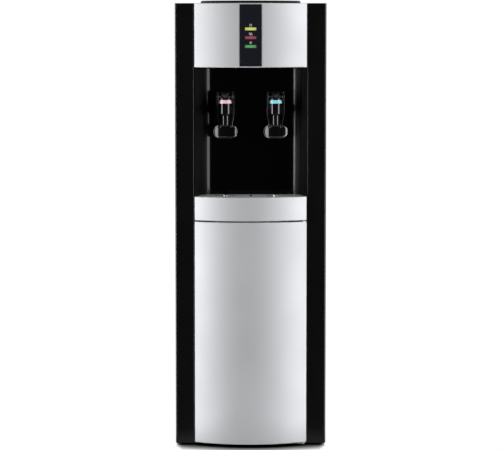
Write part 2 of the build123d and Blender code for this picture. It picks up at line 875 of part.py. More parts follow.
# Door hinges: a plate under the base and one under the tray floor, each with its pin
hinge_seat = housing_floor - wall
with BuildPart() as door_hinges:
    with BuildSketch(Plane.XY.offset(foot_height - hinge_plate)):
        with Locations((hinge_x, behind(hinge_depth))):
            Circle(hinge_nose)
        plan_box(hinge_x - 3 * hinge_nose, hinge_x + hinge_nose, hinge_depth, hinge_depth + hinge_length)
    extrude(amount=hinge_plate)
    with BuildSketch(Plane.XY.offset(hinge_seat - hinge_plate)):
        with Locations((hinge_x, behind(hinge_depth))):
            Circle(hinge_nose)
        plan_box(hinge_x - hinge_length, hinge_x, hinge_depth - hinge_nose, hinge_depth + 3 * hinge_nose)
    extrude(amount=hinge_plate)
    for pin_from, pin_to in (
        (foot_height - hinge_plate, door_bottom + pin_length),
        (door_top - pin_length, hinge_seat),
    ):
        with BuildSketch(Plane.XY.offset(pin_from)):
            with Locations((hinge_x, behind(hinge_depth))):
                Circle(pin_radius)
        extrude(amount=pin_to - pin_from)
door_hinges.part.label = "door_hinges"
export_step(door_hinges.part, "parts/door_hinges.step")

# Magnet catch on the cabinet's side wall, and its steel strike on the door
catch_x = catch_width / 2 - cabinet_half
strike_rear = liner_rear + sheet
with BuildPart() as door_strike:
    with BuildSketch(upright(liner_rear)):
        with Locations((catch_x, catch_height)):
            RectangleRounded(catch_width, catch_size, small_bend)
    extrude(amount=-sheet)
door_strike.part.label = "door_strike"
export_step(door_strike.part, "parts/door_strike.step")

with BuildPart() as magnet_catch:
    with BuildSketch(upright(strike_rear + 2 * fit_gap)):
        with Locations((catch_x, catch_height)):
            Rectangle(catch_width, catch_size)
    extrude(amount=-catch_size)
    chamfer(magnet_catch.faces().sort_by(Axis.Y)[0].edges(), small_bend / 2)
magnet_catch.part.label = "magnet_catch"
export_step(magnet_catch.part, "parts/magnet_catch.step")

# Mid deck: folded shelf between the side panels that carries the hot tank
deck_front = niche_depth + deck_gap
pipe_spots = [(-pipe_side, compressor_depth), (capillary_side, capillary_depth)]
with BuildPart() as mid_deck:
    with BuildSketch(upright(inner_rear)):
        with BuildLine():
            fold = FilletPolyline(
                (-inner_half, deck_top - deck_flange),
                (-inner_half, deck_top),
                (inner_half, deck_top),
                (inner_half, deck_top - deck_flange),
                radius=small_bend,
            )
            offset(fold, amount=sheet, side=Side.RIGHT)
        make_face()
    extrude(amount=inner_rear - deck_front)
    with Locations(*[(x, behind(depth), deck_top) for x, depth in pipe_spots]):
        Hole(pipe_radius + small_bend)
mid_deck.part.label = "mid_deck"
export_step(mid_deck.part, "parts/mid_deck.step")

# Hot tank: domed steel vessel on a skirt that is notched for the drain, with an inlet and an outlet stub
hot_bottom = deck_top + hot_legs
hot_stub_top = inlet_z - hose_drop
hot_top = hot_stub_top - stub_length
stub_depth = bottle_depth - stub_forward
with BuildPart() as hot_tank:
    with BuildSketch(section(0, bottle_depth)):
        with BuildLine():
            Polyline(
                (drain_radius, hot_bottom),
                (hot_radius - tank_wall, hot_bottom),
                (hot_radius - tank_wall, deck_top),
                (hot_radius, deck_top),
                (hot_radius, hot_top - tank_dome),
                (hot_radius - tank_dome, hot_top),
                (stub_radius, hot_top),
                (stub_radius, hot_stub_top),
                (feed_bore, hot_stub_top),
                (feed_bore, hot_top - tank_wall),
                (hot_radius - tank_dome - tank_wall, hot_top - tank_wall),
                (hot_radius - tank_wall, hot_top - tank_dome - tank_wall),
                (hot_radius - tank_wall, hot_bottom + tank_wall),
                (drain_radius, hot_bottom + tank_wall),
                close=True,
            )
        make_face()
    revolve(axis=upright_axis(0, bottle_depth))
    with BuildSketch(Plane.XY.offset(hot_top - tank_wall)):
        with Locations((-stub_side, behind(stub_depth))):
            Circle(stub_radius)
    extrude(amount=tank_wall + stub_length)
    with BuildSketch(Plane.XY.offset(hot_top - tank_wall)):
        with Locations((-stub_side, behind(stub_depth))):
            Circle(feed_bore)
    extrude(amount=tank_wall + stub_length, mode=Mode.SUBTRACT)
    with BuildSketch(upright(bottle_depth)):
        with Locations((0, (deck_top + drain_z) / 2)):
            Rectangle(2 * (drain_radius + wall), drain_z - deck_top + 2 * (drain_radius + wall))
    extrude(amount=-2 * hot_radius, mode=Mode.SUBTRACT)
hot_tank.part.label = "hot_tank"
export_step(hot_tank.part, "parts/hot_tank.step")

# Heater band: clamped ring with a bolted ear
heater_bottom = (hot_bottom + hot_top - tank_dome - heater_height) / 2
heater_inner = hot_radius + snug_gap
heater_outer = heater_inner + heater_band_wall
with BuildPart() as heater_band:
    with BuildSketch(Plane.XY.offset(heater_bottom)):
        with Locations((0, behind(bottle_depth))):
            Circle(heater_outer)
            Circle(heater_inner, mode=Mode.SUBTRACT)
        plan_box(
            heater_outer - heater_band_wall,
            heater_outer + terminal_length,
            bottle_depth - terminal_length / 2,
            bottle_depth + terminal_length / 2,
        )
        with Locations((0, behind(bottle_depth))):
            Circle(heater_inner, mode=Mode.SUBTRACT)
    extrude(amount=heater_height)
heater_band.part.label = "heater_band"
export_step(heater_band.part, "parts/heater_band.step")

# Tank bridge: folded stand on the deck that carries the cold tank above the hot one
cold_stub_bottom = inlet_z + hose_rise
bridge_top = cold_stub_bottom + stub_length
with BuildPart() as tank_bridge:
    with BuildSketch(upright(bottle_depth)):
        with BuildLine():
            fold = FilletPolyline(
                (-bridge_half - bridge_foot, deck_top + bridge_thickness),
                (-bridge_half, deck_top + bridge_thickness),
                (-bridge_half, bridge_top),
                (bridge_half, bridge_top),
                (bridge_half, deck_top + bridge_thickness),
                (bridge_half + bridge_foot, deck_top + bridge_thickness),
                radius=2 * small_bend,
            )
            offset(fold, amount=bridge_thickness, side=Side.RIGHT)
        make_face()
    extrude(amount=bridge_depth / 2, both=True)
    with Locations((0, behind(bottle_depth), bridge_top)):
        Hole(feed_radius + small_bend)
    with Locations((stub_side, behind(stub_depth), bridge_top)):
        Hole(hose_radius + small_bend)
tank_bridge.part.label = "tank_bridge"
export_step(tank_bridge.part, "parts/tank_bridge.step")

# Cold tank: open vessel under the neck socket, with a bottom outlet; its jacket fills the room there
jacket_outer = min(bottle_depth - niche_depth - wall, inner_rear - bottle_depth) - jacket_gap
jacket_inner = jacket_outer - jacket_wall
coil_step = 2 * pi / coil_sides
coil_reach = coil_width / sqrt(2)
cold_radius = (jacket_inner - fit_gap) * cos(coil_step / 2) - fit_gap - 2 * coil_reach
cold_bottom = bridge_top + jacket_base
cold_top = socket_bottom + neck_dip
with BuildPart() as cold_tank:
    with BuildSketch(section(0, bottle_depth)):
        with BuildLine():
            Polyline(
                (feed_radius + fit_gap, cold_bottom),
                (cold_radius, cold_bottom),
                (cold_radius, cold_top),
                (neck_radius + wall + fit_gap, cold_top),
                (neck_radius + wall + fit_gap, cold_top - tank_wall),
                (cold_radius - tank_wall, cold_top - tank_wall),
                (cold_radius - tank_wall, cold_bottom + tank_wall),
                (feed_radius + fit_gap, cold_bottom + tank_wall),
                close=True,
            )
        make_face()
    revolve(axis=upright_axis(0, bottle_depth))
    with BuildSketch(Plane.XY.offset(cold_stub_bottom)):
        with Locations((stub_side, behind(stub_depth))):
            Circle(stub_radius)
    extrude(amount=cold_bottom + tank_wall - cold_stub_bottom)
    with BuildSketch(Plane.XY.offset(cold_stub_bottom)):
        with Locations((stub_side, behind(stub_depth))):
            Circle(feed_bore)
    extrude(amount=cold_bottom + tank_wall - cold_stub_bottom, mode=Mode.SUBTRACT)
cold_tank.part.label = "cold_tank"
export_step(cold_tank.part, "parts/cold_tank.step")

# Evaporator coil: flat-wound tube round the cold tank, with a tail out of each side of the jacket
coil_line = (cold_radius + fit_gap + coil_reach) / cos(coil_step / 2)
tail_reach = jacket_outer + coil_tail
coil_low = cold_bottom + coil_margin
coil_high = cold_top - coil_margin - neck_dip
coil_rise = coil_high - coil_low
coil_count = round(coil_turns * coil_sides)
coil_points = [(-tail_reach, behind(bottle_depth), coil_low)]
for step in range(coil_count + 1):
    turn = pi + step * coil_step
    height = coil_low + coil_rise * step / coil_count
    coil_points.append((coil_line * cos(turn), behind(bottle_depth) + coil_line * sin(turn), height))
coil_points.append((tail_reach, behind(bottle_depth), coil_high))
with BuildPart() as evaporator_coil:
    wound_wire(coil_points, coil_width)
evaporator_coil.part.label = "evaporator_coil"
export_step(evaporator_coil.part, "parts/evaporator_coil.step")

# Tank jacket: two foam halves round the cold tank, notched for the coil's tails and the outlet
notch = 2 * (coil_reach + fit_gap)
with BuildPart() as tank_jacket:
    with BuildSketch(Plane.XY.offset(bridge_top)):
        with Locations((0, behind(bottle_depth))):
            Circle(jacket_outer)
    extrude(amount=cold_top - bridge_top)
    with BuildSketch(Plane.XY.offset(cold_bottom)):
        with Locations((0, behind(bottle_depth))):
            Circle(jacket_inner)
    extrude(amount=cold_top - cold_bottom, mode=Mode.SUBTRACT)
    with BuildSketch(Plane.XY.offset(bridge_top)):
        with Locations((0, behind(bottle_depth))):
            Circle(feed_radius + small_bend)
        with Locations((stub_side, behind(stub_depth))):
            Circle(stub_radius + small_bend)
    extrude(amount=jacket_base, mode=Mode.SUBTRACT)
    for x, height in ((-jacket_outer, coil_low), (jacket_outer, coil_high)):
        with Locations((x, behind(bottle_depth), height)):
            Box(2 * jacket_wall + coil_width, notch, notch, mode=Mode.SUBTRACT)
    split(bisect_by=Plane.XZ.offset(-behind(bottle_depth)), keep=Keep.BOTH)
tank_jacket.part.label = "tank_jacket"
export_step(tank_jacket.part, "parts/tank_jacket.step")

# Baffle: disc that keeps warm inflow off the cold outlet, on the tube that feeds the hot tank
baffle_z = cold_bottom + baffle_height
baffle_radius = cold_radius - tank_wall - baffle_gap
with BuildPart() as baffle:
    with BuildSketch(section(0, bottle_depth)):
        with BuildLine():
            Polyline(
                (feed_bore, hot_stub_top),
                (feed_radius, hot_stub_top),
                (feed_radius, baffle_z),
                (baffle_radius, baffle_z),
                (baffle_radius, baffle_z + wall),
                (feed_bore, baffle_z + wall),
                close=True,
            )
        make_face()
    revolve(axis=upright_axis(0, bottle_depth))
    with Locations((0, behind(bottle_depth), baffle_z + wall)):
        with PolarLocations(baffle_radius - baffle_rim - feed_radius, baffle_holes):
            Hole(feed_radius)
baffle.part.label = "baffle"
export_step(baffle.part, "parts/baffle.step")

# Hoses from the tanks to the tap stubs
stub_end = niche_depth + wall + stub_reach
hose_turn = stub_end + 2 * hose_bend
with BuildPart() as tap_hoses:
    for side, stub_z in ((-1, hot_stub_top), (1, cold_stub_bottom)):
        swept_tube(
            [
                (side * stub_side, behind(stub_depth), stub_z),
                (side * stub_side, behind(stub_depth), inlet_z),
                (side * tap_x, behind(hose_turn), inlet_z),
                (side * tap_x, behind(stub_end), inlet_z),
            ],
            hose_bend,
            hose_radius,
        )
tap_hoses.part.label = "tap_hoses"
export_step(tap_hoses.part, "parts/tap_hoses.step")

# Drain pipe: from the hot tank's floor out through the back panel
spout_end = body_depth - sheet + drain_spout
with BuildPart() as drain_pipe:
    swept_tube(
        [
            (0, behind(bottle_depth), hot_bottom),
            (0, behind(bottle_depth), drain_z),
            (0, behind(spout_end), drain_z),
        ],
        hose_bend,
        drain_radius,
    )
drain_pipe.part.label = "drain_pipe"
export_step(drain_pipe.part, "parts/drain_pipe.step")

# Drain cap: fluted screw cap over the spout
cap_front = body_depth - sheet + fit_gap
with BuildPart() as drain_cap:
    with BuildSketch(upright(cap_front)):
        with Locations((0, drain_z)):
            Circle(cap_radius)
            with PolarLocations(cap_radius, cap_flutes):
                Circle(flute_radius, mode=Mode.SUBTRACT)
    extrude(amount=-cap_length)
    with BuildSketch(upright(cap_front)):
        with Locations((0, drain_z)):
            Circle(drain_radius + running_gap)
    extrude(amount=-drain_spout, mode=Mode.SUBTRACT)
drain_cap.part.label = "drain_cap"
export_step(drain_cap.part, "parts/drain_cap.step")

# Taps: chamber and nozzle with a valve seat, and an inlet flanged to the niche and threaded behind it
nozzle_bottom = inlet_z - nozzle_drop
chamber_bottom = inlet_z - chamber_drop
chamber_top = inlet_z + chamber_rise
seat_z = chamber_bottom + seat_thickness
flange_depth = niche_depth - flange_thickness
with BuildPart() as tap_bodies:
    for x in tap_sides:
        with BuildSketch(section(x, tap_depth)):
            with BuildLine():
                Polyline(
                    (0, nozzle_bottom),
                    (nozzle_radius, nozzle_bottom),
                    (nozzle_radius, chamber_bottom - seat_thickness),
                    (chamber_radius - seat_thickness, chamber_bottom),
                    (chamber_radius, chamber_bottom + seat_thickness),
                    (chamber_radius, chamber_top),
                    (0, chamber_top),
                    close=True,
                )
            make_face()
        revolve(axis=upright_axis(x, tap_depth))
    with BuildSketch(upright(tap_depth)):
        for x in tap_sides:
            with Locations((x, inlet_z)):
                Circle(inlet_radius)
    extrude(amount=tap_depth - flange_depth)
    with BuildSketch(upright(niche_depth)):
        for x in tap_sides:
            with Locations((x, inlet_z)):
                Circle(flange_radius)
    extrude(amount=flange_thickness)
    with BuildSketch(upright(niche_depth)):
        for x in tap_sides:
            with Locations((x, inlet_z)):
                Circle(stub_thread)
    extrude(amount=-(wall + stub_reach))
    with BuildSketch(upright(tap_depth)):
        for x in tap_sides:
            with Locations((x, inlet_z)):
                Circle(feed_bore)
    extrude(amount=tap_depth - stub_end, mode=Mode.SUBTRACT)
    with BuildSketch(Plane.XY.offset(seat_z)):
        for x in tap_sides:
            with Locations((x, behind(tap_depth))):
                Circle(chamber_bore)
    extrude(amount=chamber_top - seat_z, mode=Mode.SUBTRACT)
    with BuildSketch(Plane.XY.offset(nozzle_bottom)):
        for x in tap_sides:
            with Locations((x, behind(tap_depth))):
                Circle(nozzle_bore)
    extrude(amount=seat_z - nozzle_bottom, mode=Mode.SUBTRACT)
tap_bodies.part.label = "tap_bodies"
export_step(tap_bodies.part, "parts/tap_bodies.step")

# Seals and lock nuts behind the niche wall
seal_depth = niche_depth + wall
with BuildPart() as tap_seals:
    with BuildSketch(upright(seal_depth)):
        for x in tap_sides:
            with Locations((x, inlet_z)):
                Circle(seal_radius)
                Circle(stub_thread + running_gap, mode=Mode.SUBTRACT)
    extrude(amount=-seal_thickness)
tap_seals.part.label = "tap_seals"
export_step(tap_seals.part, "parts/tap_seals.step")

with BuildPart() as tap_nuts:
    with BuildSketch(upright(seal_depth + seal_thickness)):
        for x in tap_sides:
            with Locations((x, inlet_z)):
                RegularPolygon(nut_flats / 2, 6, major_radius=False)
                Circle(stub_thread + running_gap, mode=Mode.SUBTRACT)
    extrude(amount=-nut_thickness)
tap_nuts.part.label = "tap_nuts"
export_step(tap_nuts.part, "parts/tap_nuts.step")

# Bonnets: caps that close the chambers, waisted for the colour bands, with ears for the lever pins
band_outer = chamber_radius + band_proud
band_inner = band_outer - band_wall
bonnet_groove = band_inner - snug_gap
band_bottom = chamber_top + fit_gap
rim_bottom = band_bottom + band_height + fit_gap
bonnet_top = rim_bottom + bonnet_rim
pivot_y = behind(tap_depth) - pivot_forward
pivot_z = bonnet_top + pivot_rise
stem_hole = stem_radius + fit_gap
with BuildPart() as tap_bonnets:
    for x in tap_sides:
        with BuildSketch(section(x, tap_depth)):
            with BuildLine():
                Polyline(
                    (stem_hole, chamber_top - bonnet_skirt),
                    (chamber_bore - running_gap, chamber_top - bonnet_skirt),
                    (chamber_bore - running_gap, chamber_top),
                    (bonnet_groove, chamber_top),
                    (bonnet_groove, rim_bottom),
                    (chamber_radius, rim_bottom),
                    (chamber_radius, bonnet_top),
                    (stem_hole, bonnet_top),
                    close=True,
                )
            make_face()
        revolve(axis=upright_axis(x, tap_depth))
        for side in (-1, 1):
            with BuildSketch(Plane.YZ.offset(x + side * ear_inner)):
                with Locations((pivot_y, pivot_z)):
                    Circle(ear_radius)
                with Locations((pivot_y, (pivot_z + bonnet_top) / 2)):
                    Rectangle(2 * ear_radius, pivot_z - bonnet_top)
                with Locations((pivot_y, bonnet_top - ear_radius)):
                    Rectangle(4 * ear_radius, 2 * ear_radius, mode=Mode.SUBTRACT)
                with Locations((pivot_y, pivot_z)):
                    Circle(pivot_radius + running_gap, mode=Mode.SUBTRACT)
            extrude(amount=side * ear_thickness)
tap_bonnets.part.label = "tap_bonnets"
export_step(tap_bonnets.part, "parts/tap_bonnets.step")

# Colour bands: open clips in the bonnets' waists


def colour_band(x):
    """Open ring that snaps into a bonnet's waist from the front."""
    with BuildPart() as band:
        with BuildSketch(section(x, tap_depth)):
            with Locations(((band_inner + band_outer) / 2, band_bottom + band_height / 2)):
                Rectangle(band_wall, band_height)
        revolve(axis=upright_axis(x, tap_depth), revolution_arc=-band_arc)
    return band


turn_to_front = (band_arc - 180) / 2
hot_clip = colour_band(-tap_x)
with BuildPart() as hot_band:
    add(hot_clip.part.rotate(upright_axis(-tap_x, tap_depth), turn_to_front))
hot_band.part.label = "hot_band"
export_step(hot_band.part, "parts/hot_band.step")

with BuildPart() as cold_band:
    mirror(hot_band.part, about=Plane.YZ)
cold_band.part.label = "cold_band"
export_step(cold_band.part, "parts/cold_band.step")

# Pivot pins of the levers, held in the bonnets' ears
arm_outer = arm_inner + arm_thickness
with BuildPart() as tap_pivot_pins:
    for x in tap_sides:
        with BuildSketch(Plane.YZ.offset(x - arm_outer)):
            with Locations((pivot_y, pivot_z)):
                Circle(pivot_radius)
        extrude(amount=2 * arm_outer)
tap_pivot_pins.part.label = "tap_pivot_pins"
export_step(tap_pivot_pins.part, "parts/tap_pivot_pins.step")

# Valves: plug on the seat, stem through the bonnet and a head that the lever lifts
head_bottom = pivot_z + prong_radius + fit_gap
plug_bottom = seat_z + fit_gap
plug_top = plug_bottom + plug_height
with BuildPart() as hot_valve:
    with BuildSketch(section(-tap_x, tap_depth)):
        with BuildLine():
            Polyline(
                (0, plug_bottom),
                (plug_radius, plug_bottom),
                (plug_radius, plug_top - plug_height / 3),
                (stem_radius, plug_top),
                (stem_radius, head_bottom),
                (head_radius, head_bottom),
                (head_radius, head_bottom + head_thickness),
                (0, head_bottom + head_thickness),
                close=True,
            )
        make_face()
    revolve(axis=upright_axis(-tap_x, tap_depth))
hot_valve.part.label = "hot_valve"
export_step(hot_valve.part, "parts/hot_valve.step")

with BuildPart() as cold_valve:
    mirror(hot_valve.part, about=Plane.YZ)
cold_valve.part.label = "cold_valve"
export_step(cold_valve.part, "parts/cold_valve.step")

# Valve springs, between the plugs and the bonnets
spring_low = plug_top + spring_wire / 2 + fit_gap
spring_rise = chamber_top - bonnet_skirt - spring_wire / 2 - fit_gap - spring_low
spring_count = spring_turns * spring_sides
with BuildPart() as tap_springs:
    for x in tap_sides:
        spring_points = []
        for step in range(spring_count + 1):
            turn = 2 * pi * step / spring_sides
            spring_points.append(
                (
                    x + spring_radius * cos(turn),
                    behind(tap_depth) + spring_radius * sin(turn),
                    spring_low + spring_rise * step / spring_count,
                )
            )
        wound_wire(spring_points, spring_wire)
tap_springs.part.label = "tap_springs"
export_step(tap_springs.part, "parts/tap_springs.step")

# Levers: hood over the stem, prongs under its head, arms beside the chamber and a scooped paddle
hood_bottom = head_bottom + head_thickness + hood_gap
paddle_top = nozzle_bottom
paddle_y = behind(tap_depth) + paddle_depth
foot_outer = arm_outer - arm_taper
arm_foot = paddle_y - paddle_curve + sqrt(paddle_curve**2 - foot_outer**2)
foot_bottom = paddle_top - 2 * paddle_wall
hood_front = pivot_y - ear_radius - fit_gap


def lever_front(x, half, foot_half):
    """Draws a lever's outline from the front, straight beside the chamber and narrower below it."""
    Polyline(
        (x - half, hood_bottom),
        (x - half, chamber_bottom),
        (x - foot_half, foot_bottom),
        (x + foot_half, foot_bottom),
        (x + half, chamber_bottom),
        (x + half, hood_bottom),
        close=True,
    )


def tap_lever(x):
    """Lever of one tap, turning about the pin ahead of its stem."""
    paddle_place = (x, paddle_top - paddle_height / 2)
    with BuildPart() as scoop:
        with BuildSketch(Plane.XY.offset(paddle_top - paddle_height)):
            with Locations((x, paddle_y - paddle_curve)):
                Circle(paddle_curve + paddle_dish)
        extrude(amount=paddle_height)
        with BuildSketch(upright(tap_depth)):
            with Locations(paddle_place):
                RectangleRounded(
                    paddle_width - 2 * paddle_rim,
                    paddle_height - 2 * paddle_rim,
                    paddle_corner - paddle_rim,
                )
        extrude(amount=paddle_curve, both=True, mode=Mode.INTERSECT)
    with BuildPart() as arms:
        with BuildSketch(Plane.YZ.offset(x)):
            with BuildLine():
                Polyline(
                    (hood_front + arm_thickness, hood_bottom),
                    (hood_front, hood_bottom - hood_thickness),
                    (hood_front, pivot_z - ear_radius),
                    (arm_foot - 2 * paddle_wall, chamber_bottom),
                    (arm_foot - paddle_wall, foot_bottom),
                    (arm_foot + paddle_wall, foot_bottom),
                    (arm_foot + paddle_wall, chamber_bottom),
                    (hood_front + hood_length - arm_thickness, bonnet_top),
                    (hood_front + hood_length - arm_thickness, hood_bottom),
                    close=True,
                )
            make_face()
        extrude(amount=arm_outer + arm_thickness, both=True)
        with BuildSketch(upright(tap_depth)):
            with BuildLine():
                lever_front(x, arm_outer, foot_outer)
            make_face()
            with BuildLine():
                lever_front(x, arm_inner, foot_outer - arm_thickness)
            make_face(mode=Mode.SUBTRACT)
        extrude(amount=hood_length + paddle_curve, both=True, mode=Mode.INTERSECT)
    with BuildPart() as lever:
        with BuildSketch(Plane.XY.offset(paddle_top - paddle_height - paddle_wall)):
            with Locations((x, paddle_y - paddle_curve)):
                Circle(paddle_curve + paddle_wall)
                Circle(paddle_curve, mode=Mode.SUBTRACT)
            with Locations((x, paddle_y)):
                Rectangle(paddle_width + 2 * paddle_wall, paddle_curve, mode=Mode.INTERSECT)
        extrude(amount=paddle_height + 2 * paddle_wall)
        with BuildSketch(upright(tap_depth)):
            with Locations(paddle_place):
                RectangleRounded(paddle_width, paddle_height, paddle_corner)
        extrude(amount=paddle_curve, both=True, mode=Mode.INTERSECT)
        add(scoop.part, mode=Mode.SUBTRACT)
        add(arms.part)
        with BuildSketch(Plane.XY.offset(hood_bottom)):
            with Locations((x, hood_front + hood_length / 2)):
                RectangleRounded(2 * arm_outer, hood_length, arm_thickness)
        extrude(amount=hood_thickness)
        chamfer(lever.faces().sort_by(Axis.Z)[-1].edges(), hood_thickness / 3)
        for side in (-1, 1):
            with BuildSketch(Plane.YZ.offset(x + side * prong_inner)):
                with Locations((pivot_y, pivot_z)):
                    Circle(hub_radius)
                with Locations((pivot_y + pivot_forward, pivot_z)):
                    Circle(prong_radius)
                with Locations((pivot_y + pivot_forward / 2, pivot_z)):
                    Rectangle(pivot_forward, 2 * prong_radius)
                with Locations((pivot_y - hub_radius + prong_post / 2, (pivot_z + hood_bottom) / 2)):
                    Rectangle(prong_post, hood_bottom - pivot_z)
            extrude(amount=side * prong_width)
        with BuildSketch(Plane.YZ.offset(x - arm_outer)):
            with Locations((pivot_y, pivot_z)):
                Circle(pivot_radius + running_gap)
        extrude(amount=2 * arm_outer, mode=Mode.SUBTRACT)
    return lever


hot_lever = tap_lever(-tap_x)
hot_lever.part.label = "hot_lever"
export_step(hot_lever.part, "parts/hot_lever.step")

cold_lever = tap_lever(tap_x)
cold_lever.part.label = "cold_lever"
export_step(cold_lever.part, "parts/cold_lever.step")

# Compressor: hermetic can with a welded seam on its mounting plate
can_seam = can_bottom + compressor_height / 2
with BuildPart() as compressor:
    with BuildSketch(section(0, compressor_depth)):
        with BuildLine():
            Polyline(
                (0, can_bottom),
                (compressor_radius - compressor_shoulder, can_bottom),
                (compressor_radius, can_bottom + compressor_shoulder),
                (compressor_radius, can_seam),
                (compressor_radius + compressor_seam, can_seam),
                (compressor_radius + compressor_seam, can_seam + compressor_seam),
                (compressor_radius, can_seam + compressor_seam),
                (compressor_radius, can_top - compressor_shoulder),
                (compressor_radius - compressor_shoulder, can_top),
                (0, can_top),
                close=True,
            )
        make_face()
    revolve(axis=upright_axis(0, compressor_depth))
    with BuildSketch(Plane.XY.offset(plate_bottom)):
        with Locations((0, behind(compressor_depth))):
            RectangleRounded(
                grommet_x + 2 * grommet_radius,
                grommet_y + 2 * grommet_radius,
                grommet_radius,
            )
    extrude(amount=plate_thickness)
compressor.part.label = "compressor"
export_step(compressor.part, "parts/compressor.step")

# Rubber grommets under the mounting plate
with BuildPart() as compressor_grommets:
    with BuildSketch(Plane.XY.offset(grommet_bottom)):
        with Locations((0, behind(compressor_depth))):
            with GridLocations(grommet_x, grommet_y, 2, 2):
                Circle(grommet_radius)
    extrude(amount=grommet_height)
compressor_grommets.part.label = "compressor_grommets"
export_step(compressor_grommets.part, "parts/compressor_grommets.step")

# Relay cover clipped on the side of the can
can_clear = compressor_radius + compressor_seam + fit_gap
with BuildPart() as relay_cover:
    with BuildSketch(Plane.XY.offset(can_seam - relay_height / 2)):
        plan_box(
            -can_clear - relay_depth,
            -compressor_radius / 2,
            compressor_depth - relay_width / 2,
            compressor_depth + relay_width / 2,
        )
        with Locations((0, behind(compressor_depth))):
            Circle(can_clear, mode=Mode.SUBTRACT)
    extrude(amount=relay_height)
    chamfer(relay_cover.faces().sort_by(Axis.X)[0].edges(), small_bend)
relay_cover.part.label = "relay_cover"
export_step(relay_cover.part, "parts/relay_cover.step")

# Condenser: serpentine tube behind the back panel, gripped between two rows of upright wires
condenser_depth = body_depth + condenser_reach - drier_radius
condenser_top = body_height - condenser_drop
condenser_bottom = condenser_top - (condenser_runs - 1) * condenser_pitch
condenser_points = []
for run in range(condenser_runs):
    height = condenser_top - run * condenser_pitch
    start = condenser_half if run % 2 == 0 else -condenser_half
    condenser_points.append((start, behind(condenser_depth), height))
    condenser_points.append((-start, behind(condenser_depth), height))
with BuildPart() as condenser_tube:
    swept_tube(condenser_points, (condenser_pitch - condenser_straight) / 2, pipe_radius)
condenser_tube.part.label = "condenser_tube"
export_step(condenser_tube.part, "parts/condenser_tube.step")

# Condenser grid: two rows of upright wires, and the brackets that hold the tube off the back panel
wire_span = 2 * (condenser_half - condenser_pitch / 2)
wire_pitch = wire_span / (wire_count - 1)
wire_offset = pipe_radius + wire_gap + wire_radius
bracket_x = wire_pitch * (wire_count // 2 - 1)
bracket_width = wire_pitch - 4 * wire_radius
back_face = body_depth - sheet
with BuildPart() as condenser_grid:
    with BuildSketch(Plane.XY.offset(condenser_bottom - wire_overhang)):
        with Locations((0, behind(condenser_depth))):
            with GridLocations(wire_pitch, 2 * wire_offset, wire_count, 2):
                Circle(wire_radius)
    extrude(amount=condenser_top - condenser_bottom + 2 * wire_overhang)
    for run in (1, condenser_runs - 2):
        shelf = condenser_top - run * condenser_pitch - pipe_radius - fit_gap
        for x in (-bracket_x, bracket_x):
            with BuildSketch(Plane.YZ.offset(x)):
                with BuildLine():
                    Polyline(
                        (behind(back_face), shelf),
                        (behind(condenser_depth + pipe_radius), shelf),
                        (behind(condenser_depth + pipe_radius), shelf - bracket_thickness),
                        (behind(back_face + bracket_thickness), shelf - bracket_thickness),
                        (behind(back_face + bracket_thickness), shelf - bracket_foot),
                        (behind(back_face), shelf - bracket_foot),
                        close=True,
                    )
                make_face()
            extrude(amount=bracket_width / 2, both=True)
condenser_grid.part.label = "condenser_grid"
export_step(condenser_grid.part, "parts/condenser_grid.step")

# Refrigerant pipes: discharge to the condenser, drier and capillary to the coil, suction back to the can
discharge_z = can_seam + discharge_rise
suction_z = can_seam - suction_drop
capillary_z = bay_top - capillary_dip
drier_top = condenser_bottom - drier_drop
drier_bottom = drier_top - drier_height
can_side = compressor_radius + fit_gap
with BuildPart() as refrigerant_pipes:
    swept_tube(
        [
            (can_side, behind(compressor_depth), discharge_z),
            (pipe_side, behind(compressor_depth), discharge_z),
            (pipe_side, behind(condenser_depth), discharge_z),
            (pipe_side, behind(condenser_depth), condenser_top),
            (condenser_half, behind(condenser_depth), condenser_top),
        ],
        pipe_bend,
        pipe_radius,
    )
    swept_tube(
        [
            (condenser_half, behind(condenser_depth), condenser_bottom),
            (drier_side, behind(condenser_depth), condenser_bottom),
            (drier_side, behind(condenser_depth), drier_top),
        ],
        drier_bend,
        pipe_radius,
    )
    with BuildSketch(section(drier_side, condenser_depth)):
        with BuildLine():
            Polyline(
                (0, drier_bottom),
                (capillary_radius, drier_bottom),
                (drier_radius, drier_bottom + drier_radius),
                (drier_radius, drier_top - drier_radius),
                (pipe_radius, drier_top),
                (0, drier_top),
                close=True,
            )
        make_face()
    revolve(axis=upright_axis(drier_side, condenser_depth))
    swept_tube(
        [
            (drier_side, behind(condenser_depth), drier_bottom),
            (drier_side, behind(condenser_depth), capillary_z),
            (drier_side, behind(capillary_depth), capillary_z),
            (capillary_side, behind(capillary_depth), capillary_z),
            (capillary_side, behind(capillary_depth), coil_high),
            (capillary_side, behind(bottle_depth), coil_high),
            (tail_reach, behind(bottle_depth), coil_high),
        ],
        capillary_bend,
        capillary_radius,
    )
    swept_tube(
        [
            (-can_side, behind(compressor_depth), suction_z),
            (-pipe_side, behind(compressor_depth), suction_z),
            (-pipe_side, behind(compressor_depth), coil_low),
            (-pipe_side, behind(bottle_depth), coil_low),
            (-tail_reach, behind(bottle_depth), coil_low),
        ],
        pipe_bend,
        pipe_radius,
    )
refrigerant_pipes.part.label = "refrigerant_pipes"
export_step(refrigerant_pipes.part, "parts/refrigerant_pipes.step")

# Control box with the thermostat and fuses, on the inner face of the back panel
control_top = body_height - control_drop
with BuildPart() as control_box:
    with BuildSketch(upright(back_face - sheet)):
        with Locations((control_side, control_top - control_height / 2)):
            RectangleRounded(control_width, control_height, small_bend)
    extrude(amount=control_depth)
    chamfer(control_box.faces().sort_by(Axis.Y)[0].edges(), small_bend)
control_box.part.label = "control_box"
export_step(control_box.part, "parts/control_box.step")

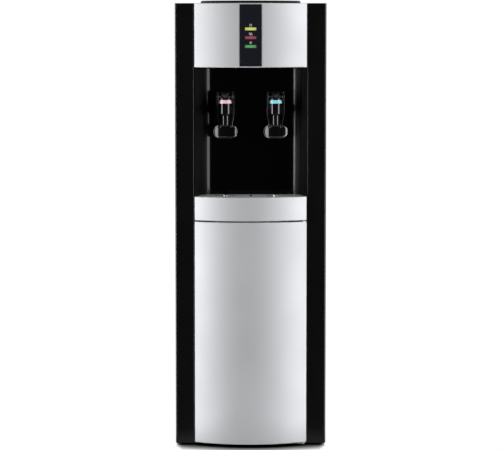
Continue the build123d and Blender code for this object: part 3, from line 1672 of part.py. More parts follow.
# Switch plate: flange outside the back panel, with a window for each rocker
window_width = rocker_width + 2 * fit_gap
window_length = switch_length - 2 * liner_wall
with BuildPart() as switch_plate:
    with BuildSketch(upright(back_face)):
        with Locations((switch_side, switch_z)):
            RectangleRounded(
                switch_width + 2 * switch_border,
                switch_length + 2 * switch_border,
                switch_border,
            )
    extrude(amount=-switch_flange)
    with BuildSketch(upright(back_face)):
        with Locations((switch_side, switch_z)):
            Rectangle(switch_width, switch_length)
    extrude(amount=switch_body)
    with BuildSketch(upright(back_face + switch_flange)):
        with Locations((switch_side, switch_z)):
            with GridLocations(switch_pitch, 1, 2, 1):
                Rectangle(window_width, window_length)
    extrude(amount=switch_flange + switch_body, mode=Mode.SUBTRACT)
switch_plate.part.label = "switch_plate"
export_step(switch_plate.part, "parts/switch_plate.step")


def rocker(x):
    """Rocker of a rear switch, tilted so that its upper half is pressed in."""
    tilt = radians(rocker_tilt)
    half = window_length / 2 - rocker_end_gap
    crest = rocker_rise + half * tan(tilt)
    tilted = Plane(
        origin=(x, behind(back_face - rocker_pivot), switch_z),
        x_dir=(0, cos(tilt), sin(tilt)),
        z_dir=(1, 0, 0),
    )
    with BuildPart() as key:
        with BuildSketch(tilted):
            with BuildLine():
                Polyline(
                    (rocker_rise, 0),
                    (crest, half),
                    (rocker_rise - rocker_pivot, half),
                    (-rocker_pivot, half / 2),
                    (-rocker_pivot, -half / 2),
                    (rocker_rise - rocker_pivot, -half),
                    (crest, -half),
                    close=True,
                )
            make_face()
        extrude(amount=rocker_width / 2, both=True)
    return key


heating_switch = rocker(switch_side - switch_pitch / 2)
heating_switch.part.label = "heating_switch"
export_step(heating_switch.part, "parts/heating_switch.step")

cooling_switch = rocker(switch_side + switch_pitch / 2)
cooling_switch.part.label = "cooling_switch"
export_step(cooling_switch.part, "parts/cooling_switch.step")

# Cord gland: bare bushing in the back panel
with BuildPart() as cord_gland:
    with BuildSketch(upright(back_face)):
        with Locations((-gland_side, gland_z)):
            Circle(gland_radius + gland_flange)
    extrude(amount=-gland_flange)
    chamfer(cord_gland.faces().sort_by(Axis.Y)[-1].edges(), gland_flange / 3)
    with BuildSketch(upright(back_face)):
        with Locations((-gland_side, gland_z)):
            Circle(gland_radius)
    extrude(amount=switch_body)
    with BuildSketch(upright(back_face + gland_flange)):
        with Locations((-gland_side, gland_z)):
            Circle(gland_bore)
    extrude(amount=switch_body + gland_flange, mode=Mode.SUBTRACT)
cord_gland.part.label = "cord_gland"
export_step(cord_gland.part, "parts/cord_gland.step")
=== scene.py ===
"""Looks of a floor-standing water dispenser: finishes, small fittings, studio and camera."""

import json
import math

import bmesh
import bpy
from mathutils import Matrix, Vector


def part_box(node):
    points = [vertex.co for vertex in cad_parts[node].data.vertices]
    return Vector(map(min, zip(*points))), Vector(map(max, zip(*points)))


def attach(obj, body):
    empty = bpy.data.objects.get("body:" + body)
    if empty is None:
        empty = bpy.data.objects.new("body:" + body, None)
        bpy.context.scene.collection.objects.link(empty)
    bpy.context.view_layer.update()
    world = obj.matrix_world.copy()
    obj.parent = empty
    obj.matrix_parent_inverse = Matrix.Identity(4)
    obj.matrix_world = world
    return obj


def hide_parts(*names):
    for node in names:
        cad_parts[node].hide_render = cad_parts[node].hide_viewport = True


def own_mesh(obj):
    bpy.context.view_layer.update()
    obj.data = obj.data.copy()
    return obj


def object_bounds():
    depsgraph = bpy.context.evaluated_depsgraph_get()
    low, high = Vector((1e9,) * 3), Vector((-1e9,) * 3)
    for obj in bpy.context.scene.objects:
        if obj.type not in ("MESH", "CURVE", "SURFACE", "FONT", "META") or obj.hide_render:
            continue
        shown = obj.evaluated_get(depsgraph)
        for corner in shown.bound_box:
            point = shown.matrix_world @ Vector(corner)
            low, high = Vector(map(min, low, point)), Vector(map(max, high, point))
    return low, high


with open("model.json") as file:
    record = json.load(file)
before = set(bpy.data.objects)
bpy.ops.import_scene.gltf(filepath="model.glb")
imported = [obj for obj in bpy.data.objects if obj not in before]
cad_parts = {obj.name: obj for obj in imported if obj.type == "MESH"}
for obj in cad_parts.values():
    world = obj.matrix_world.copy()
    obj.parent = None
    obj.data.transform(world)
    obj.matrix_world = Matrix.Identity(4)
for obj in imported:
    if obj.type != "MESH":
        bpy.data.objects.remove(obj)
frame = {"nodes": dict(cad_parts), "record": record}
cad_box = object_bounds()
nodes = frame["nodes"]

MM = 0.001

# Camera: the photograph's view, 500 by 450 pixels, from just below the top's height and slightly left
IMAGE_WIDTH = 500
FOCAL_PIXELS = 2292.8
SENSOR_WIDTH = 36.0
CAMERA_DISTANCE = 5.0  # ahead of the columns' flat front
CAMERA_HEIGHT = 0.9307
CAMERA_ASIDE = -0.0014
CAMERA_PITCH = 0.0882  # downwards, in radians

# Lamps, in metres: place, size and radiance, and the angle at which the side ones stand off the front
SOFTBOX_HEIGHT = 3.2
SOFTBOX_DISTANCE = 2.4
SOFTBOX_MIDDLE = 0.6
LEFT_ANGLE = math.radians(67)
RIGHT_ANGLE = math.radians(55)
LEFT_WIDTH = 0.45
RIGHT_WIDTH = 0.9
LEFT_RADIANCE = 13.9
RIGHT_RADIANCE = 6.4
TOP_SIZE = 2.0
TOP_HEIGHT = 2.6
TOP_AHEAD = 0.6
TOP_RADIANCE = 0.3

# Floor, in metres
FLOOR_RADIUS = 0.3
FLOOR_SIDES = 96
SHADOW_REACH = 0.06  # how far the shade of the foot spreads ahead and behind
SHADOW_ASIDE = 0.004  # and to the sides, where the lamps stand
SHADOW_NARROWING = 0.015  # how far inside the sides it starts to narrow
SHADOW_FALL = 4.0  # how fast it fades
SHADOW_SAMPLES = 16

# Room: its strength ahead of the object and behind it, and the Y of a direction where each is full
FRONT_WORLD = 0.04
REAR_WORLD = 0.9
ROOM_FRONT = -0.5
ROOM_REAR = 0.8

# Backdrop in reflections: the Y where it starts and is full, of a point on the floor or a direction
BACKDROP_STARTS = 0.1
BACKDROP_FULL = 0.6

# Finishes: the usual range of noise, and the cosine of an edge's rounding where edge wear, and the painted
# highlight on the levers, start and are full
NOISE_LOW = 0.3
NOISE_HIGH = 0.7
WEAR_AND_GLINT_STARTS = 0.99
WEAR_AND_GLINT_FULL = 0.75
EDGE_SAMPLES = 6

# The niche's finish by the distance from its middle, in mm, and how rough each part is
NICHE_SATIN = 95.0
NICHE_MATT = 101.0
SATIN_ROUGHNESS = 0.13
MATT_ROUGHNESS = 0.42

# Lenses of the lights, in mm: their flutes are drawn coarser than real ones to show
FLUTE_PITCH = 4.0
FLUTE_DEPTH = 0.15
FLUTE_SHADE = 0.7  # share of the light that a furrow lets through
WAVE_LENGTH = math.pi / 10  # of the wave pattern at a scale of 1

# Levers, in mm below the top of the hood: where the painted highlight on their edges starts, and where it is
# full
HIGHLIGHT_STARTS_BELOW_HOOD = 6.0
HIGHLIGHT_FULL_BELOW_HOOD = 12.0

# Strainers under the taps, in mm: the dome's outline as radius and height, from its foot to its middle
STRAINER_PROFILE = ((0, 0), (7, 0), (7, 1.4), (6.2, 2.3), (4.6, 2.7), (2.2, 2.9), (0, 2.9))
STRAINER_STEPS = 16
HOLE_RING = 3.4  # mean radius of the ring of holes
HOLE_SPREAD = 0.3  # how far from it the middle of a hole may lie
HOLE_MARGIN = 0.3
HOLE_DEPTH = 0.8
SAME_POINT = 0.001  # points closer than this are one

# Valve springs in the taps, in mm
SPRING_WIRE = 1.2
SPRING_SIDES = 10
SPRING_TURNS = 3
SPRING_STEPS = 72

# Pan-head screws with a cross recess, in mm
SCREW_HEAD = 3.6
SCREW_TOP = 3.06
SCREW_DOME = 2.2
SCREW_EDGE = 0.88
ROUND_SIDES = 24
RIM_STEPS = 2  # of a bevelled rim
FACING_UP = 0.999  # upward share of the normal of a level face
RECESS_HALF_WIDTH = 0.55
RECESS_REACH = 1.9
RECESS_DEPTH = 1.1
PANEL_SCREW_INSET = 8.0  # from the back panel's side edges
PANEL_SCREW_ROWS = 5
PANEL_SCREW_END = 30.0  # first and last screw from the panel's ends
PAN_SCREW_INSET = 22.0  # from the base pan's sides
BRACKET_THICKNESS = 1.5
BRACKET_RUNS = (1, 4)  # condenser runs that rest on brackets, counted from the top
CONDENSER_RUNS = 6
WIRE_COUNT = 12
WIRE_RADIUS = 0.8
BRACKET_SCREW_DROP = 10.0  # below the run's middle

# Nuts that hold the compressor on its grommets, in mm
GROMMET_RADIUS = 9.0
COMPRESSOR_PLATE = 3.0
WASHER_RADIUS = 7.5
WASHER_THICKNESS = 1.5
WASHER_EDGE = 0.45
NUT_RADIUS = 5.8
NUT_HEIGHT = 5.0
NUT_SIDES = 6
NUT_EDGE = 0.5
STUD_RADIUS = 3.0
STUD_REACH = 3.0  # beyond the nut
STUD_SIDES = 16
STUD_EDGE = 0.6

# Pictograms printed above the lights, in mm
SYMBOL_RISE = 8.0  # above the middle of the lens
SYMBOL_RADIUS = 2.5
SYMBOL_REACH = 3.0  # of the strokes that pass the radius
SYMBOL_STROKE = 0.75
POWER_OPENING = math.radians(80)
POWER_STEPS = 24
HEAT_SPACING = 2.25
HEAT_STEPS = 10
SNOW_ARMS = 6
SNOW_FORK = 0.6  # where the twigs leave an arm, as a share of its length
SNOW_TWIG = 1.125
SNOW_TURN = math.pi / 4  # of a twig from its arm
PRINT_THICKNESS = 0.12
PRINT_SINK = 0.08  # how far the print's back lies inside the bowed strip


def linear(hex_colour):
    """An sRGB hex colour as linear red, green, blue and alpha."""
    channels = [int(hex_colour[i : i + 2], 16) / 255 for i in (1, 3, 5)]
    return [c / 12.92 if c <= 0.04045 else ((c + 0.055) / 1.055) ** 2.4 for c in channels] + [1.0]


def add_node(tree, kind, inputs=None, links=None, **settings):
    """Adds a node with its settings and input values, and links its inputs to other nodes' outputs."""
    node = tree.nodes.new(kind)
    for name, value in settings.items():
        setattr(node, name, value)
    for socket, value in (inputs or {}).items():
        node.inputs[socket].default_value = value
    for socket, output in (links or {}).items():
        tree.links.new(output, node.inputs[socket])
    return node


def new_material(name):
    """An empty material with its output node, and Object coordinates to draw patterns on."""
    material = bpy.data.materials.new(name)
    material.use_nodes = True
    tree = material.node_tree
    tree.nodes.clear()
    output = add_node(tree, "ShaderNodeOutputMaterial")
    coordinates = add_node(tree, "ShaderNodeTexCoord").outputs["Object"]
    return material, tree, output, coordinates


NOISE = ("ShaderNodeTexNoise", "Fac")
CELLS = ("ShaderNodeTexVoronoi", "Color")
BEADS = ("ShaderNodeTexVoronoi", "Distance")


def finish(
    name,
    dark,
    light,
    roughness,
    grain,
    relief,
    patch=90.0,
    edge=0.5,
    painted_glint=None,
    stretch=(1, 1, 1),
    pattern=NOISE,
    **surface,
):
    """A surface with a fine grain, gloss that drifts over patches, and rounded, worn edges, with a painted
    highlight on them where a glint colour is given.

    The grain shows in colour and relief. Grain, relief, patches and the edge's rounding are in mm.
    Edges take the painted glint colour, a painted highlight, where one is given, or else the light one, as
    wear. The surface takes the shader's own values.
    """
    material, tree, output, coordinates = new_material(name)
    mapping = add_node(tree, "ShaderNodeMapping", {"Scale": stretch}, {"Vector": coordinates})
    kind, channel = pattern
    grit = add_node(tree, kind, {"Scale": 1 / (grain * MM)}, {"Vector": mapping.outputs["Vector"]})
    drift = add_node(tree, "ShaderNodeTexNoise", {"Scale": 1 / (patch * MM)}, {"Vector": coordinates})
    colour = add_node(
        tree,
        "ShaderNodeMix",
        {"A": linear(dark), "B": linear(light)},
        {"Factor": grit.outputs[channel]},
        data_type="RGBA",
    )
    gloss = add_node(
        tree,
        "ShaderNodeMapRange",
        {"From Min": NOISE_LOW, "From Max": NOISE_HIGH, "To Min": roughness[0], "To Max": roughness[1]},
        {"Value": drift.outputs["Fac"]},
    )
    rounded = add_node(tree, "ShaderNodeBevel", {"Radius": edge * MM}, samples=EDGE_SAMPLES)
    facing = add_node(tree, "ShaderNodeNewGeometry")
    alike = add_node(
        tree,
        "ShaderNodeVectorMath",
        links={0: rounded.outputs["Normal"], 1: facing.outputs["Normal"]},
        operation="DOT_PRODUCT",
    )
    # Edges turn lighter: wear on most finishes, and a painted highlight where a glint colour is given
    wear_and_glint = add_node(
        tree,
        "ShaderNodeMapRange",
        {"From Min": WEAR_AND_GLINT_STARTS, "From Max": WEAR_AND_GLINT_FULL},
        {"Value": alike.outputs["Value"]},
    )
    wear_and_glint_colour = add_node(
        tree,
        "ShaderNodeMix",
        {"B": linear(painted_glint or light)},
        {"Factor": wear_and_glint.outputs["Result"], "A": colour.outputs["Result"]},
        data_type="RGBA",
    )
    bump = add_node(
        tree,
        "ShaderNodeBump",
        {"Distance": relief * MM, "Strength": 1.0},
        {"Height": grit.outputs[channel], "Normal": rounded.outputs["Normal"]},
    )
    shader = add_node(
        tree,
        "ShaderNodeBsdfPrincipled",
        surface,
        {
            "Base Color": wear_and_glint_colour.outputs["Result"],
            "Roughness": gloss.outputs["Result"],
            "Normal": bump.outputs["Normal"],
        },
    )
    tree.links.new(shader.outputs["BSDF"], output.inputs["Surface"])
    return material


# Each finish by its slot in the record
finishes = {
    # Enamel baked on sheet steel: near black and glossy, with a faint orange peel
    "black_painted_steel": finish(
        "black_enamelled_steel", "#060607", "#09090a",
        roughness=(0.2, 0.27), grain=3.0, relief=0.006, edge=0.4, IOR=1.5,
    ),
    # Metallic silver paint on ABS: a satin sheen with flakes, drawn coarser than real ones to show
    "silver_abs": finish(
        "silver_painted_abs", "#d5d6d9", "#dedfe1",
        roughness=(0.66, 0.7), grain=1.6, relief=0.004, edge=1.0, Metallic=0.9,
    ),
    # ABS from a polished mould: black, glossy, with slow waves where it shrank
    "black_gloss_abs": finish(
        "black_gloss_abs", "#070708", "#0a0a0c",
        roughness=(0.1, 0.15), grain=5.0, relief=0.003, edge=0.7, IOR=1.54,
    ),
    # Polypropylene from an etched mould: dark, matt, with a leathery grain
    "black_matte_plastic": finish(
        "textured_polypropylene", "#131314", "#1b1b1d",
        roughness=(0.5, 0.6), grain=1.4, relief=0.05, IOR=1.49,
    ),
    # Coloured ABS clips: plain soft colours with a low gloss
    "pink_band": finish(
        "pink_abs", "#f6c8df", "#fad2e6",
        roughness=(0.28, 0.34), grain=2.0, relief=0.004, edge=0.3, IOR=1.54,
    ),
    "blue_band": finish(
        "pale_blue_abs", "#90e3f1", "#9ce9f5",
        roughness=(0.28, 0.34), grain=2.0, relief=0.004, edge=0.3, IOR=1.54,
    ),
    # Hot-dip galvanised sheet: zinc spangle, crystals about 12 mm across that catch the light differently
    "galvanised_sheet": finish(
        "galvanised_steel", "#8d9194", "#b2b6b8",
        roughness=(0.32, 0.5), grain=12.0, relief=0.008, patch=30.0, pattern=CELLS, Metallic=1.0,
    ),
    # Zinc-plated steel: bright bluish grey with a dull bloom
    "zinc_steel": finish(
        "zinc_plated_steel", "#a9abad", "#c2c4c6",
        roughness=(0.26, 0.36), grain=2.0, relief=0.006, edge=0.2, Metallic=1.0,
    ),
    # Spun stainless steel: fine rings round the vessel
    "stainless_tank": finish(
        "spun_stainless", "#a8a8a6", "#c8c8c6",
        roughness=(0.22, 0.32), grain=1.5, relief=0.006, stretch=(0.04, 0.04, 1), Metallic=1.0,
    ),
    # Vacuum-formed polystyrene: clean white, softly glossy, with shallow ripples from forming
    "white_abs": finish(
        "white_polystyrene", "#e2e3e1", "#eaebe9",
        roughness=(0.34, 0.42), grain=6.0, relief=0.02, edge=1.0, IOR=1.59,
    ),
    # Expanded polystyrene: matt white beads about 4 mm across
    "foam": finish(
        "expanded_polystyrene", "#f4f5f5", "#dfe1e3",
        roughness=(0.7, 0.85), grain=4.0, relief=0.3, pattern=BEADS, IOR=1.3,
    ),
    # Drawn copper tube: orange metal with brown patches of oxide
    "copper_tube": finish(
        "drawn_copper", "#a8694a", "#c98a63",
        roughness=(0.25, 0.4), grain=9.0, relief=0.006, patch=25.0, edge=0.2, Metallic=1.0,
    ),
    # Black lacquer on steel wire: half gloss and a little uneven
    "black_wire": finish(
        "black_lacquered_wire", "#0e0e0f", "#151516",
        roughness=(0.32, 0.42), grain=4.0, relief=0.02, patch=25.0, edge=0.2, IOR=1.5,
    ),
    # Stoved black paint on the compressor's can: half gloss with orange peel
    "compressor_black": finish(
        "black_stoved_steel", "#101011", "#18181a",
        roughness=(0.3, 0.4), grain=3.0, relief=0.03, IOR=1.5,
    ),
    # Moulded rubber: dark grey, nearly without gloss
    "rubber": finish(
        "moulded_rubber", "#161616", "#1f1f1f",
        roughness=(0.65, 0.8), grain=1.2, relief=0.03, IOR=1.52,
    ),
    # Silicone: milky white with a waxy gloss
    "silicone": finish(
        "milky_silicone", "#d4d6d4", "#e4e5e3",
        roughness=(0.3, 0.4), grain=3.0, relief=0.01, IOR=1.43,
    ),
    # Solder mask on glass fibre: deep green and glossy, with a faint mottle
    "circuit_board": finish(
        "solder_mask_board", "#0c3a22", "#12472b",
        roughness=(0.25, 0.35), grain=2.0, relief=0.01, edge=0.2, IOR=1.55,
    ),
    # Coloured ABS rockers: bright, glossy
    "red_switch": finish(
        "red_rocker_abs", "#b01818", "#bd2020",
        roughness=(0.22, 0.28), grain=2.0, relief=0.004, IOR=1.54,
    ),
    "green_switch": finish(
        "green_rocker_abs", "#14823a", "#198e42",
        roughness=(0.22, 0.28), grain=2.0, relief=0.004, IOR=1.54,
    ),
}


def lit_lens(name, tint, light, node):
    """Fluted polycarbonate with a diode behind it: light in the middle, deeper in tint towards its rim."""
    material, tree, output, coordinates = new_material(name)
    low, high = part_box(node)
    span = high - low
    mapping = add_node(
        tree,
        "ShaderNodeMapping",
        {"Location": (low + high) / 2, "Scale": (span.x, 1, span.z)},
        {"Vector": coordinates},
        vector_type="TEXTURE",
    )
    spot = add_node(
        tree, "ShaderNodeTexGradient", links={"Vector": mapping.outputs["Vector"]}, gradient_type="SPHERICAL"
    )
    flutes = add_node(
        tree, "ShaderNodeTexWave", {"Scale": WAVE_LENGTH / (FLUTE_PITCH * MM)}, {"Vector": coordinates}
    )
    ripple = add_node(
        tree, "ShaderNodeMapRange", {"To Min": FLUTE_SHADE}, {"Value": flutes.outputs["Fac"]}
    )
    strength = add_node(
        tree,
        "ShaderNodeMath",
        links={0: spot.outputs["Fac"], 1: ripple.outputs["Result"]},
        operation="MULTIPLY",
    )
    bump = add_node(
        tree,
        "ShaderNodeBump",
        {"Distance": FLUTE_DEPTH * MM, "Strength": 1.0},
        {"Height": flutes.outputs["Fac"]},
    )
    shader = add_node(
        tree,
        "ShaderNodeBsdfPrincipled",
        {"Base Color": linear(tint), "Roughness": 0.22, "IOR": 1.58, "Emission Color": linear(light)},
        {"Emission Strength": strength.outputs["Value"], "Normal": bump.outputs["Normal"]},
    )
    tree.links.new(shader.outputs["BSDF"], output.inputs["Surface"])
    return material


# Lenses over the diodes: each glows in its own tint
finishes["yellow_lens"] = lit_lens("lit_yellow_polycarbonate", "#80832c", "#d2d97c", "power_lens")
finishes["red_lens"] = lit_lens("lit_red_polycarbonate", "#5c2630", "#944e5c", "heating_lens")
finishes["green_lens"] = lit_lens("lit_green_polycarbonate", "#2b5230", "#62a868", "cooling_lens")


def niche_finish():
    """Vacuum-formed black sheet: satin on the back, so that corners show a line of light, and matt sides."""
    material = finish(
        "black_formed_sheet", "#030304", "#050506",
        roughness=(SATIN_ROUGHNESS, MATT_ROUGHNESS), grain=5.0, relief=0.004, edge=0.4, IOR=1.3,
    )
    tree = material.node_tree
    gloss = tree.nodes["Principled BSDF"].inputs["Roughness"].links[0].from_node
    coordinates = tree.nodes["Texture Coordinate"].outputs["Object"]
    axes = add_node(tree, "ShaderNodeSeparateXYZ", links={"Vector": coordinates})
    aside = add_node(tree, "ShaderNodeMath", links={0: axes.outputs["X"]}, operation="ABSOLUTE")
    tree.links.new(aside.outputs["Value"], gloss.inputs["Value"])
    gloss.inputs["From Min"].default_value = NICHE_SATIN * MM
    gloss.inputs["From Max"].default_value = NICHE_MATT * MM
    return material


def grille_finish():
    """Silver-grey ABS from a sparked mould: eggshell gloss on top, and painted shade on the slot walls and
    other faces that don't face up.
    """
    material = finish(
        "grey_abs_grille", "#d4d6d9", "#dfe1e4",
        roughness=(0.28, 0.36), grain=1.2, relief=0.01, IOR=1.54,
    )
    tree = material.node_tree
    shader = tree.nodes["Principled BSDF"]
    top = shader.inputs["Base Color"].links[0].from_socket
    # Painted shade: faces that don't face up, the slot walls among them, take a dark grey as if in shadow
    facing = add_node(tree, "ShaderNodeNewGeometry")
    axes = add_node(tree, "ShaderNodeSeparateXYZ", links={"Vector": facing.outputs["True Normal"]})
    colour = add_node(
        tree,
        "ShaderNodeMix",
        {"A": linear("#1b1c1d")},
        {"Factor": axes.outputs["Z"], "B": top},
        data_type="RGBA",
    )
    tree.links.new(colour.outputs["Result"], shader.inputs["Base Color"])
    return material


finishes["grille_plastic"] = grille_finish()


def lever_finish(node):
    """ABS from a polished mould: black and glossy, with a painted grey highlight on its edges below the
    hood.
    """
    # The edges' light grey is a painted highlight that stands in for glints of the lamps on the arms and
    # paddle
    material = finish(
        "black_lever_abs", "#070708", "#0a0a0c",
        roughness=(0.1, 0.15), grain=5.0, relief=0.003, edge=1.2, painted_glint="#a2a3a6", IOR=1.54,
    )
    tree = material.node_tree
    wear_and_glint_colour = tree.nodes["Principled BSDF"].inputs["Base Color"].links[0].from_node
    wear_and_glint = wear_and_glint_colour.inputs["Factor"].links[0].from_socket
    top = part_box(node)[1].z
    coordinates = tree.nodes["Texture Coordinate"].outputs["Object"]
    axes = add_node(tree, "ShaderNodeSeparateXYZ", links={"Vector": coordinates})
    # Painted highlight: only below the hood do the lever's edges take the light grey
    below = add_node(
        tree,
        "ShaderNodeMapRange",
        {"From Min": top - HIGHLIGHT_STARTS_BELOW_HOOD * MM, "From Max": top - HIGHLIGHT_FULL_BELOW_HOOD * MM},
        {"Value": axes.outputs["Z"]},
    )
    painted_glint = add_node(
        tree, "ShaderNodeMath", links={0: wear_and_glint, 1: below.outputs["Result"]}, operation="MULTIPLY"
    )
    tree.links.new(painted_glint.outputs["Value"], wear_and_glint_colour.inputs["Factor"])
    return material


lever_black = lever_finish("hot_lever")

# Nodes whose finish differs from the rest of their slot
node_finishes = {
    "niche_liner": niche_finish(),
    "hot_lever": lever_black,
    "cold_lever": lever_black,
    # ABS from an etched mould: black with little gloss
    "bottle_collar": finish(
        "black_matt_abs", "#060607", "#09090a",
        roughness=(0.5, 0.6), grain=2.0, relief=0.01, edge=1.0, IOR=1.3,
    ),
    # Smoked acrylic: bluish black and the glossiest surface on the front
    "display_strip": finish(
        "smoked_acrylic", "#191a20", "#1d1e25",
        roughness=(0.08, 0.11), grain=8.0, relief=0.002, IOR=1.49,
    ),
}

for subpart in frame["record"]["subparts"]:
    mesh = nodes[subpart["node"]].data
    mesh.materials.clear()
    mesh.materials.append(node_finishes.get(subpart["node"]) or finishes[subpart["material_slot"]])


def add_piece(name, shape, material, body="cabinet"):
    """Turns a finished bmesh into a piece that rides on a body and counts to one of the record's slots."""
    bmesh.ops.recalc_face_normals(shape, faces=shape.faces)
    mesh = bpy.data.meshes.new(name)
    shape.to_mesh(mesh)
    shape.free()
    mesh.materials.append(material)
    piece = bpy.data.objects.new(name, mesh)
    bpy.context.scene.collection.objects.link(piece)
    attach(piece, body)
    return piece


def copies(unit, places):
    """A bmesh with a copy of a unit, which is freed, at each of the places."""
    mesh = bpy.data.meshes.new("unit")
    unit.to_mesh(mesh)
    unit.free()
    shape = bmesh.new()
    for place in places:
        first = len(shape.verts)
        shape.from_mesh(mesh)
        shape.verts.ensure_lookup_table()
        bmesh.ops.transform(shape, matrix=place, verts=shape.verts[first:])
    bpy.data.meshes.remove(mesh)
    return shape


def add_drum(shape, radius, tip_radius, low, high, segments, edge):
    """Adds an upright drum or prism with a bevelled top edge."""
    middle = Matrix.Translation((0, 0, (low + high) / 2))
    made = bmesh.ops.create_cone(
        shape,
        cap_ends=True,
        segments=segments,
        radius1=radius,
        radius2=tip_radius,
        depth=high - low,
        matrix=middle,
    )
    edges = {e for v in made["verts"] for e in v.link_edges}
    rim = {e for e in edges if all(v.co.z > (low + high) / 2 for v in e.verts)}
    bmesh.ops.bevel(
        shape, geom=list(rim), offset=edge, affect="EDGES", segments=RIM_STEPS, profile=0.5, material=-1
    )


def cross_screw():
    """A pan-head screw that faces up: a domed head with a cross recess."""
    shape = bmesh.new()
    add_drum(shape, SCREW_HEAD, SCREW_TOP, 0, SCREW_DOME, ROUND_SIDES, SCREW_EDGE)
    for axis in (Vector((1, 0, 0)), Vector((0, 1, 0))):
        for cut in (-RECESS_REACH, -RECESS_HALF_WIDTH, RECESS_HALF_WIDTH, RECESS_REACH):
            top = [f for f in shape.faces if f.normal.z > FACING_UP]
            edges = {e for f in top for e in f.edges}
            verts = {v for f in top for v in f.verts}
            bmesh.ops.bisect_plane(shape, geom=[*top, *edges, *verts], plane_co=axis * cut, plane_no=axis)
    recess = []
    for face in shape.faces:
        x, y, _ = map(abs, face.calc_center_median())
        if face.normal.z > FACING_UP and min(x, y) < RECESS_HALF_WIDTH and max(x, y) < RECESS_REACH:
            recess.append(face)
    sunk = bmesh.ops.extrude_face_region(shape, geom=recess)["geom"]
    floor_verts = [v for v in sunk if isinstance(v, bmesh.types.BMVert)]
    bmesh.ops.translate(shape, vec=(0, 0, -RECESS_DEPTH), verts=floor_verts)
    return shape


def facing_back(x, y, z):
    """Place in mm on a rear face, for a unit in mm that stands up from it."""
    return Matrix.Scale(MM, 4) @ Matrix.Translation((x, y, z)) @ Matrix.Rotation(-math.pi / 2, 4, "X")


# Screws of the back panel, the base pan and the condenser's brackets
panel_low, panel_high = (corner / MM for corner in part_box("back_panel"))
pan_low, pan_high = (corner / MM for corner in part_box("base_pan"))
tube_low, tube_high = (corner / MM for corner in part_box("condenser_tube"))
wires_low, wires_high = (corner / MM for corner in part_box("condenser_grid"))
tube_radius = (tube_high.y - tube_low.y) / 2
run_pitch = (tube_high.z - tube_low.z - 2 * tube_radius) / (CONDENSER_RUNS - 1)
wire_pitch = (wires_high.x - wires_low.x - 2 * WIRE_RADIUS) / (WIRE_COUNT - 1)
bracket_side = wire_pitch * (WIRE_COUNT // 2 - 1)
row_pitch = (panel_high.z - panel_low.z - 2 * PANEL_SCREW_END) / (PANEL_SCREW_ROWS - 1)
screw_places = []
for side in (-1, 1):
    for row in range(PANEL_SCREW_ROWS):
        height = panel_low.z + PANEL_SCREW_END + row * row_pitch
        screw_places.append(facing_back(side * (panel_high.x - PANEL_SCREW_INSET), panel_high.y, height))
    pan_middle = (pan_low.z + pan_high.z) / 2
    screw_places.append(facing_back(side * (pan_high.x - PAN_SCREW_INSET), pan_high.y, pan_middle))
    for run in BRACKET_RUNS:
        height = tube_high.z - tube_radius - run * run_pitch - BRACKET_SCREW_DROP
        screw_places.append(facing_back(side * bracket_side, panel_high.y + BRACKET_THICKNESS, height))
add_piece("back_screws", copies(cross_screw(), screw_places), finishes["zinc_steel"])

# Nuts, washers and studs of the compressor's mounting plate
stack = bmesh.new()
add_drum(stack, WASHER_RADIUS, WASHER_RADIUS, 0, WASHER_THICKNESS, ROUND_SIDES, WASHER_EDGE)
nut_top = WASHER_THICKNESS + NUT_HEIGHT
add_drum(stack, NUT_RADIUS, NUT_RADIUS, WASHER_THICKNESS, nut_top, NUT_SIDES, NUT_EDGE)
add_drum(stack, STUD_RADIUS, STUD_RADIUS, nut_top, nut_top + STUD_REACH, STUD_SIDES, STUD_EDGE)
grommet_low, grommet_high = (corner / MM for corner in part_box("compressor_grommets"))
stack_places = [
    Matrix.Scale(MM, 4) @ Matrix.Translation((x, y, grommet_high.z + COMPRESSOR_PLATE))
    for x in (grommet_low.x + GROMMET_RADIUS, grommet_high.x - GROMMET_RADIUS)
    for y in (grommet_low.y + GROMMET_RADIUS, grommet_high.y - GROMMET_RADIUS)
]
add_piece("compressor_nuts", copies(stack, stack_places), finishes["zinc_steel"])


def strainer():
    """A low dome with a ring of drain holes, standing on the grille."""
    shape = bmesh.new()
    profile = [shape.verts.new((radius, 0, height)) for radius, height in STRAINER_PROFILE]
    edges = [shape.edges.new(pair) for pair in zip(profile, profile[1:])]
    bmesh.ops.spin(
        shape,
        geom=[*profile, *edges],
        cent=(0, 0, 0),
        axis=(0, 0, 1),
        angle=2 * math.pi,
        steps=STRAINER_STEPS,
        use_merge=True,
    )
    bmesh.ops.remove_doubles(shape, verts=shape.verts, dist=SAME_POINT)
    bmesh.ops.recalc_face_normals(shape, faces=shape.faces)
    ring = []
    for face in shape.faces:
        radius = face.calc_center_median().xy.length
        if face.normal.z > 0 and abs(radius - HOLE_RING) < HOLE_SPREAD:
            ring.append(face)
    ring.sort(key=lambda face: math.atan2(face.calc_center_median().y, face.calc_center_median().x))
    bmesh.ops.inset_individual(shape, faces=ring[::2], thickness=HOLE_MARGIN, depth=-HOLE_DEPTH)
    return shape


# Pressed stainless steel, polished: dark where it mirrors the room, with sharp glints of the lamps
polished_steel = finish(
    "polished_stainless", "#b4b4b2", "#c4c4c2",
    roughness=(0.1, 0.16), grain=2.0, relief=0.002, edge=0.3, Metallic=1.0,
)
strainer_places = []
for valve_node in ("hot_valve", "cold_valve"):
    low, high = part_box(valve_node)
    foot = ((low.x + high.x) / 2, (low.y + high.y) / 2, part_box("drip_grille")[1].z)
    strainer_places.append(Matrix.Translation(foot) @ Matrix.Scale(MM, 4))
strainers = copies(strainer(), strainer_places)
add_piece("drain_strainers", strainers, polished_steel, "drip_grille")


def sweep(shape, section, **path):
    """Sweeps a flat section, given by its points, round an axis."""
    edges = {e for v in section for e in v.link_edges}
    faces = {f for v in section for f in v.link_faces}
    bmesh.ops.spin(shape, geom=[*section, *edges, *faces], **path)


